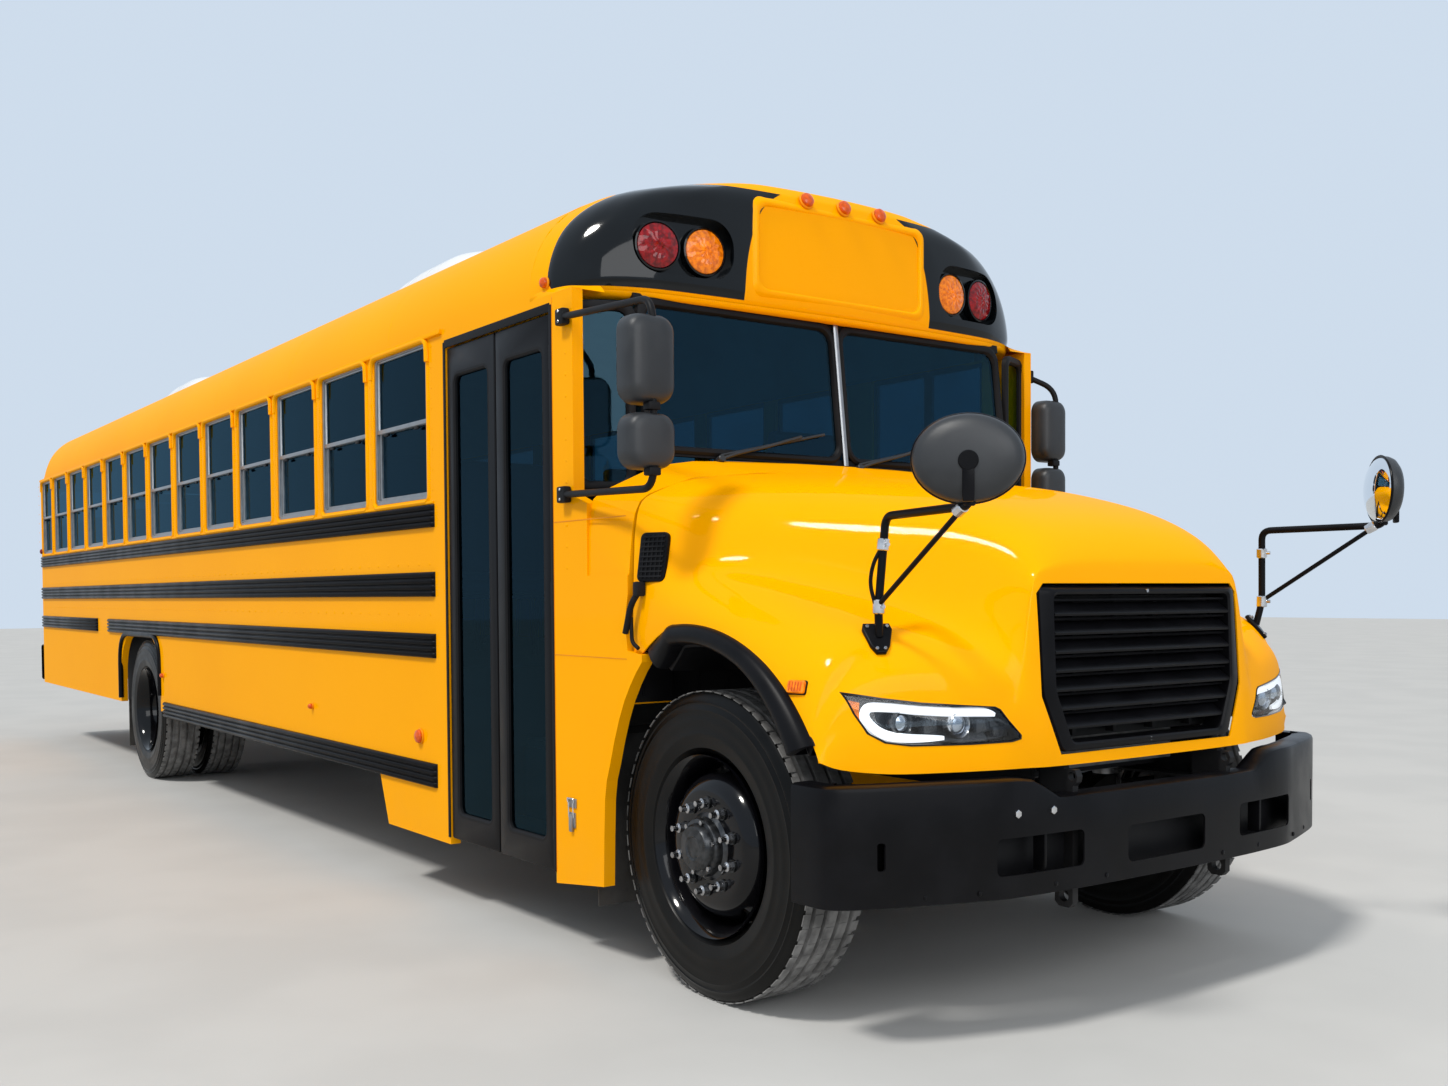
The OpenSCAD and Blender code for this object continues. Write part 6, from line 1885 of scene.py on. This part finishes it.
def emergency_door():
    """Rear door with two windows, a long handle and its hinges."""
    piece, glass = Piece("rear_door_panel", "emergency_door"), Piece("rear_door_glass", "emergency_door")
    windows = ((1.74, 2.3), (1.08, 1.56))
    panel = Piece("panel")
    panel.prism(rounded_rect(-0.482, 0.482, 0.948, 2.38, 0.05), "yz", -10.918, -10.878, YELLOW, 0.006)
    holes = Piece("holes")
    for z0, z1 in windows:
        holes.prism(rounded_rect(-0.4, 0.4, z0, z1, 0.06), "yz", -11.0, -10.8, YELLOW)
    panel.cut(holes)
    piece.take(panel.bm, YELLOW)
    for z0, z1 in windows:
        rings = []
        for grow, x in ((0.02, -10.917), (0.018, -10.923), (-0.002, -10.923), (-0.01, -10.915),
                (-0.01, -10.9)):
            ring = rounded_rect(-0.4 - grow, 0.4 + grow, z0 - grow, z1 + grow, 0.06 + grow)
            rings.append(ring_yz(ring, x))
        piece.grid(rings, RUBBER, close_ring=True)
        pane = rounded_rect(-0.396, 0.396, z0 + 0.004, z1 - 0.004, 0.056)
        glass.add(ring_yz(pane, -10.9), [list(range(len(pane)))], WINDOW)
    for z in (1.1, 1.64, 2.18):
        piece.rod((-10.924, -0.482, z), (-10.924, -0.482, z + 0.09), 0.0095, STEEL, 18, bevel=0.002)
        piece.box((-10.926, -0.475, z + 0.01), (-10.918, -0.41, z + 0.08), STEEL, 0.002)
    piece.box((-10.926, 0.33, 1.61), (-10.917, 0.44, 1.7), SATIN_BLACK, 0.003)
    piece.tube([(-10.92, 0.425, 1.632), (-10.932, 0.42, 1.632), (-10.932, 0.35, 1.632),
        (-10.92, 0.345, 1.632)], 0.006, BRIGHT, 10, 0.01)
    piece.done("rear_door", slot="yellow_paint", sharp=35)
    glass.done(slot="glass", sharp=40)


def stop_arm():
    """A red octagon with a white rim, a hinge pin and two steel brackets, folded flat against the left
    side.
    """
    piece = Piece("stop_sign", "stop_sign_arm")
    x0, y0, z0 = -1.85, 1.253, 1.55

    def octagon(r):
        turns = [math.radians(45 * k + 22.5) for k in range(8)]
        return [(x0 - 0.24 + r * math.cos(t), z0 + r * math.sin(t)) for t in turns]

    piece.prism(octagon(0.2395), "xz", y0 + 0.0005, y0 + 0.0055, WHITE, 0.001)
    piece.prism(octagon(0.226), "xz", y0, y0 + 0.006, RED, 0.0004)
    piece.rod((x0, y0, z0 - 0.08), (x0, y0, z0 + 0.08), 0.0058, STEEL, 16)
    for dz in (-0.06, 0.06):
        piece.box((x0 - 0.06, y0 - 0.0015, z0 + dz - 0.016), (x0 + 0.004, y0 + 0.0058, z0 + dz + 0.016),
            STEEL, 0.001)
    piece.done("stop_arm", slot="red_paint", sharp=35)


# ---------------------------------------------------------------- cabin

FLOOR_Z = 1.02
SEAM_REACH = 0.09
WHEEL_HUB = (-0.985, 0.62, 1.77)
WHEEL_TILT = 56


def cushion(name, lo, hi, crown, axis, seams):
    """Padded block: rounded edges, a crowned face towards axis, and pressed seams across it."""
    piece = Piece(name)
    lo, hi = Vector(lo), Vector(hi)
    size = hi - lo
    r = 0.03
    other = bmesh.new()
    bmesh.ops.create_cube(other, size=1.0)
    bmesh.ops.subdivide_edges(other, edges=list(other.edges), cuts=26, use_grid_fill=True)
    k, sign = axis
    for v in other.verts:
        unit = v.co * 2
        # edges rounded by a ball of that radius, which keeps the piece inside its box
        at = Vector([lo[i] + (v.co[i] + 0.5) * size[i] for i in range(3)])
        core = Vector([min(max(at[i], lo[i] + r), hi[i] - r) for i in range(3)])
        p = core + (at - core).normalized() * r if (at - core).length > 1e-9 else core
        inside = 1.0
        for i in range(3):
            if i != k:
                inside *= max(0.0, 1 - abs(unit[i]) ** 3)
        if unit[k] * sign > 0.2:
            p[k] -= sign * crown * (1 - inside)
            for j, where in seams:
                d = abs(unit[j] - where)
                if d < SEAM_REACH:
                    p[k] -= sign * 0.008 * (1 - d / SEAM_REACH) ** 2 * min(1.0, inside * 4 + 0.2)
        v.co = p
    piece.take(other, VINYL)
    piece.done(slot="seat_vinyl", sharp=60)


def seats():
    """Twelve rows of bench seats on steel legs and the driver's seat."""
    floor_z = FLOOR_Z
    legs = Piece("seat_legs")
    for k in range(12):
        x = -2.56 - 0.688 * k
        for side in SIDES:
            y0, y1 = sorted((side * 0.19, side * 1.14))
            cushion("bench_cushion_%d_%d" % (k, side > 0), (x - 0.2, y0, floor_z + 0.322),
                (x + 0.21, y1, floor_z + 0.43), 0.018, (2, 1), [(1, 0.0), (0, 0.55)])
            cushion("bench_back_%d_%d" % (k, side > 0), (x - 0.29, y0, floor_z + 0.325),
                (x - 0.203, y1, floor_z + 1.0), 0.012, (0, 1), [(1, 0.0), (2, 0.62)])
            for y in (side * 0.265, side * 1.06):
                legs.tube([(x + 0.15, y, floor_z + 0.004), (x + 0.135, y, floor_z + 0.305),
                    (x - 0.185, y, floor_z + 0.305), (x - 0.225, y, floor_z + 0.004)], 0.013, CHASSIS, 12,
                    0.05)
            legs.box((x - 0.23, y0 + 0.02, floor_z + 0.3), (x + 0.19, y1 - 0.02, floor_z + 0.321), CHASSIS,
                0.003)
    seams = [(1, 0.62), (1, -0.62)]
    cushion("driver_cushion", (-1.56, 0.39, floor_z + 0.33), (-1.09, 0.86, floor_z + 0.44), 0.022, (2, 1),
        seams)
    cushion("driver_back", (-1.65, 0.4, floor_z + 0.33), (-1.563, 0.85, floor_z + 1.1), 0.018, (0, 1),
        seams)
    legs.box((-1.5, 0.47, floor_z + 0.002), (-1.15, 0.78, floor_z + 0.05), CHASSIS, 0.008)
    legs.rod((-1.325, 0.625, floor_z + 0.04), (-1.325, 0.625, floor_z + 0.3), 0.075, CHASSIS, 28, r2=0.06)
    legs.box((-1.53, 0.42, floor_z + 0.29), (-1.12, 0.83, floor_z + 0.329), CHASSIS, 0.01)
    legs.done("seats", slot="chassis_black", sharp=35)


def dashboard():
    """Rounded instrument board with a hooded dial panel, switch bank and vents."""
    piece = Piece("dashboard_board")
    low = [(-0.679, 1.085), (-0.679, 1.64), (-0.64, 1.655), (-0.56, 1.658), (-0.47, 1.65), (-0.436, 1.61),
        (-0.434, 1.085)]
    piece.prism(low, "xz", -1.11, 1.11, DASH, 0.006)
    lip = [(-0.68, 1.425), (-0.82, 1.43), (-0.872, 1.47), (-0.895, 1.54), (-0.88, 1.61), (-0.845, 1.64),
        (-0.8, 1.664), (-0.76, 1.684), (-0.72, 1.688), (-0.681, 1.684)]
    piece.prism(lip, "xz", -0.47, 1.15, DASH, 0.008)
    turn = placed((-0.868, 0.62, 1.6), -62, "Y")
    piece.prism(rounded_rect(-0.215, 0.215, -0.062, 0.062, 0.03), "yx", -0.004, 0.006, GLOSS_BLACK, 0.002,
        matrix=turn)
    for y in (-0.12, 0.0, 0.12):
        piece.turned([(0.036, 0.005), (0.038, 0.01), (0.043, 0.01), (0.045, 0.005)], BRIGHT,
            turn @ Matrix.Translation((0, y, 0)), 28)
    for k in range(7):
        y = 0.05 - 0.07 * k
        piece.box((-0.893, y - 0.024, 1.52), (-0.884, y + 0.024, 1.56), PLASTIC_BLACK, 0.003)
    for y in (-0.95, -0.55):
        for j in range(6):
            piece.box((-0.688, y - 0.09, 1.5 + j * 0.018), (-0.678, y + 0.09, 1.508 + j * 0.018),
                PLASTIC_BLACK, 0.002)
    tilt = math.radians(WHEEL_TILT)
    axis = Vector((math.sin(tilt), 0, -math.cos(tilt)))
    piece.rod(Vector(WHEEL_HUB) + axis * 0.03, Vector(WHEEL_HUB) + axis * 0.09, 0.0275, PLASTIC_BLACK, 28,
        bevel=0.004)
    piece.done("dashboard", slot="dash_plastic", sharp=35)


def steering():
    """Thick rimmed wheel with three spokes and a padded boss."""
    piece = Piece("steering_rim", "steering")
    turn = placed(WHEEL_HUB, -WHEEL_TILT, "Y")
    spins = [2 * math.pi * k / 14 for k in range(14)]
    rim = [(0.215 + 0.0148 * math.cos(t), 0.0148 * math.sin(t)) for t in spins]
    piece.turned(rim, PLASTIC_BLACK, turn, 72)
    piece.turned([(0, -0.019), (0.03, -0.019), (0.044, -0.012), (0.0445, 0.01), (0.036, 0.018),
        (0, 0.0195)], PLASTIC_BLACK, turn, 36, closed=False)
    for a in (90, 210, 330):
        spoke = turn @ Matrix.Rotation(math.radians(a), 4, "Z")
        piece.box((0.03, -0.017, -0.0055), (0.213, 0.017, 0.0055), SATIN_BLACK, 0.005, spoke)
    piece.done("steering_wheel", slot="black_plastic", sharp=35)


# ---------------------------------------------------------------- frame nodes that stay


def paint_nodes():
    """Gives every CAD node a procedural material. Nodes that pieces stand for take the body colour."""
    finishes = {"chassis_frame": CHASSIS, "front_axle": CHASSIS, "rear_axle": CHASSIS, "fuel_tank": CHASSIS,
        "engine": ENGINE, "exhaust": EXHAUST, "floor": FLOOR, "wheel_housings": FLOOR, "entry_steps": FLOOR,
        "knuckle_right": STEEL, "knuckle_left": STEEL}
    for name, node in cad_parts.items():
        node.data.materials.clear()
        node.data.materials.append(finishes.get(name, YELLOW))


# ---------------------------------------------------------------- stage


def stage():
    """Pale floor, soft daylight from the right and above, and a pale background."""
    world = bpy.data.worlds.new("studio")
    bpy.context.scene.world = world
    world.use_nodes = True
    tree = world.node_tree
    light = tree.nodes["Background"]
    light.inputs["Color"].default_value = (0.9, 0.95, 1.0, 1)
    light.inputs["Strength"].default_value = 0.55
    seen = tree.nodes.new("ShaderNodeBackground")
    seen.inputs["Color"].default_value = (0.62, 0.72, 0.84, 1)
    seen.inputs["Strength"].default_value = 1.0
    path = tree.nodes.new("ShaderNodeLightPath")
    shows = path.outputs["Is Camera Ray"]
    for ray in ("Is Glossy Ray", "Is Transmission Ray"):
        either = tree.nodes.new("ShaderNodeMath")
        either.operation = "MAXIMUM"
        link(tree, shows, either.inputs[0])
        link(tree, path.outputs[ray], either.inputs[1])
        shows = either.outputs[0]
    mix = tree.nodes.new("ShaderNodeMixShader")
    link(tree, shows, mix.inputs["Fac"])
    link(tree, light.outputs[0], mix.inputs[1])
    link(tree, seen.outputs[0], mix.inputs[2])
    link(tree, mix.outputs[0], tree.nodes["World Output"].inputs["Surface"])

    ground = material("studio_floor", (0.52, 0.52, 0.51), 0.85, mottle=0.03, scale=1.2, bump=0.1,
        grain=60.0)
    mesh = bpy.data.meshes.new("studio_floor")
    reach = 60.0
    mesh.from_pydata([(-reach, -reach, 0), (reach, -reach, 0), (reach, reach, 0), (-reach, reach, 0)], [],
        [(0, 1, 2, 3)])
    mesh.materials.append(ground)
    scene_object("studio_floor", mesh)

    sun = bpy.data.lights.new("key", "SUN")
    sun.energy = 2.3
    sun.angle = math.radians(9)
    sun.color = (1.0, 0.97, 0.92)
    lamp = scene_object("key", sun)
    lamp.rotation_mode = "QUATERNION"
    lamp.rotation_quaternion = Vector((-0.1, 0.62, -0.95)).to_track_quat("-Z", "Y")

    fill = bpy.data.lights.new("fill", "AREA")
    fill.shape = "RECTANGLE"
    fill.size, fill.size_y = 9.0, 5.0
    fill.energy = 420.0
    lamp = scene_object("fill", fill)
    lamp.location = (AXLE_X + 9.0, -3.0, 5.5)
    lamp.rotation_mode = "QUATERNION"
    lamp.rotation_quaternion = Vector((-9.0, 3.0, -4.3)).to_track_quat("-Z", "Y")


def camera():
    """The photograph's view: near the ground, off the right front corner."""
    data = bpy.data.cameras.new("view")
    data.sensor_width = 36.0
    data.lens = 34.166
    data.shift_x = -0.00315
    data.shift_y = 0.06465
    data.clip_end = 200
    made = scene_object("view", data)
    yaw, pitch, roll = (math.radians(a) for a in (143.8034, -1.7531, -0.3519))
    ahead = Vector((math.cos(yaw) * math.cos(pitch), math.sin(yaw) * math.cos(pitch), math.sin(pitch)))
    right = Vector((math.sin(yaw), -math.cos(yaw), 0))
    up = right.cross(ahead)
    x = right * math.cos(roll) + up * math.sin(roll)
    y = up * math.cos(roll) - right * math.sin(roll)
    made.matrix_world = axes_at(x, y, -ahead, (AXLE_X + 3.6494, -3.7078, 1.3294))
    bpy.context.scene.camera = made
    bpy.context.scene.view_settings.view_transform = "Standard"


# ---------------------------------------------------------------- everything

hood()
intake_vent()
hood_straps()
fender_flares()
grille()
headlights()
fender_markers()
crossover_mirrors()
front_cap()
lamp_panels()
marker_lamps()
rear_cap()
firewall_painted_shade()
pillar_shoulders()
running_gear()
front_bumper()
mud_flaps()
windshield()
wipers()
side_mirrors()
side_windows()
window_mouldings()
rivet_lines()
rub_rails()
roof_shell()
roof_units()
arch_bands()
entry_doors()
skirt_latch()
door_surround()
emergency_door()
stop_arm()
seats()
dashboard()
steering()

paint_nodes()
stage()
camera()
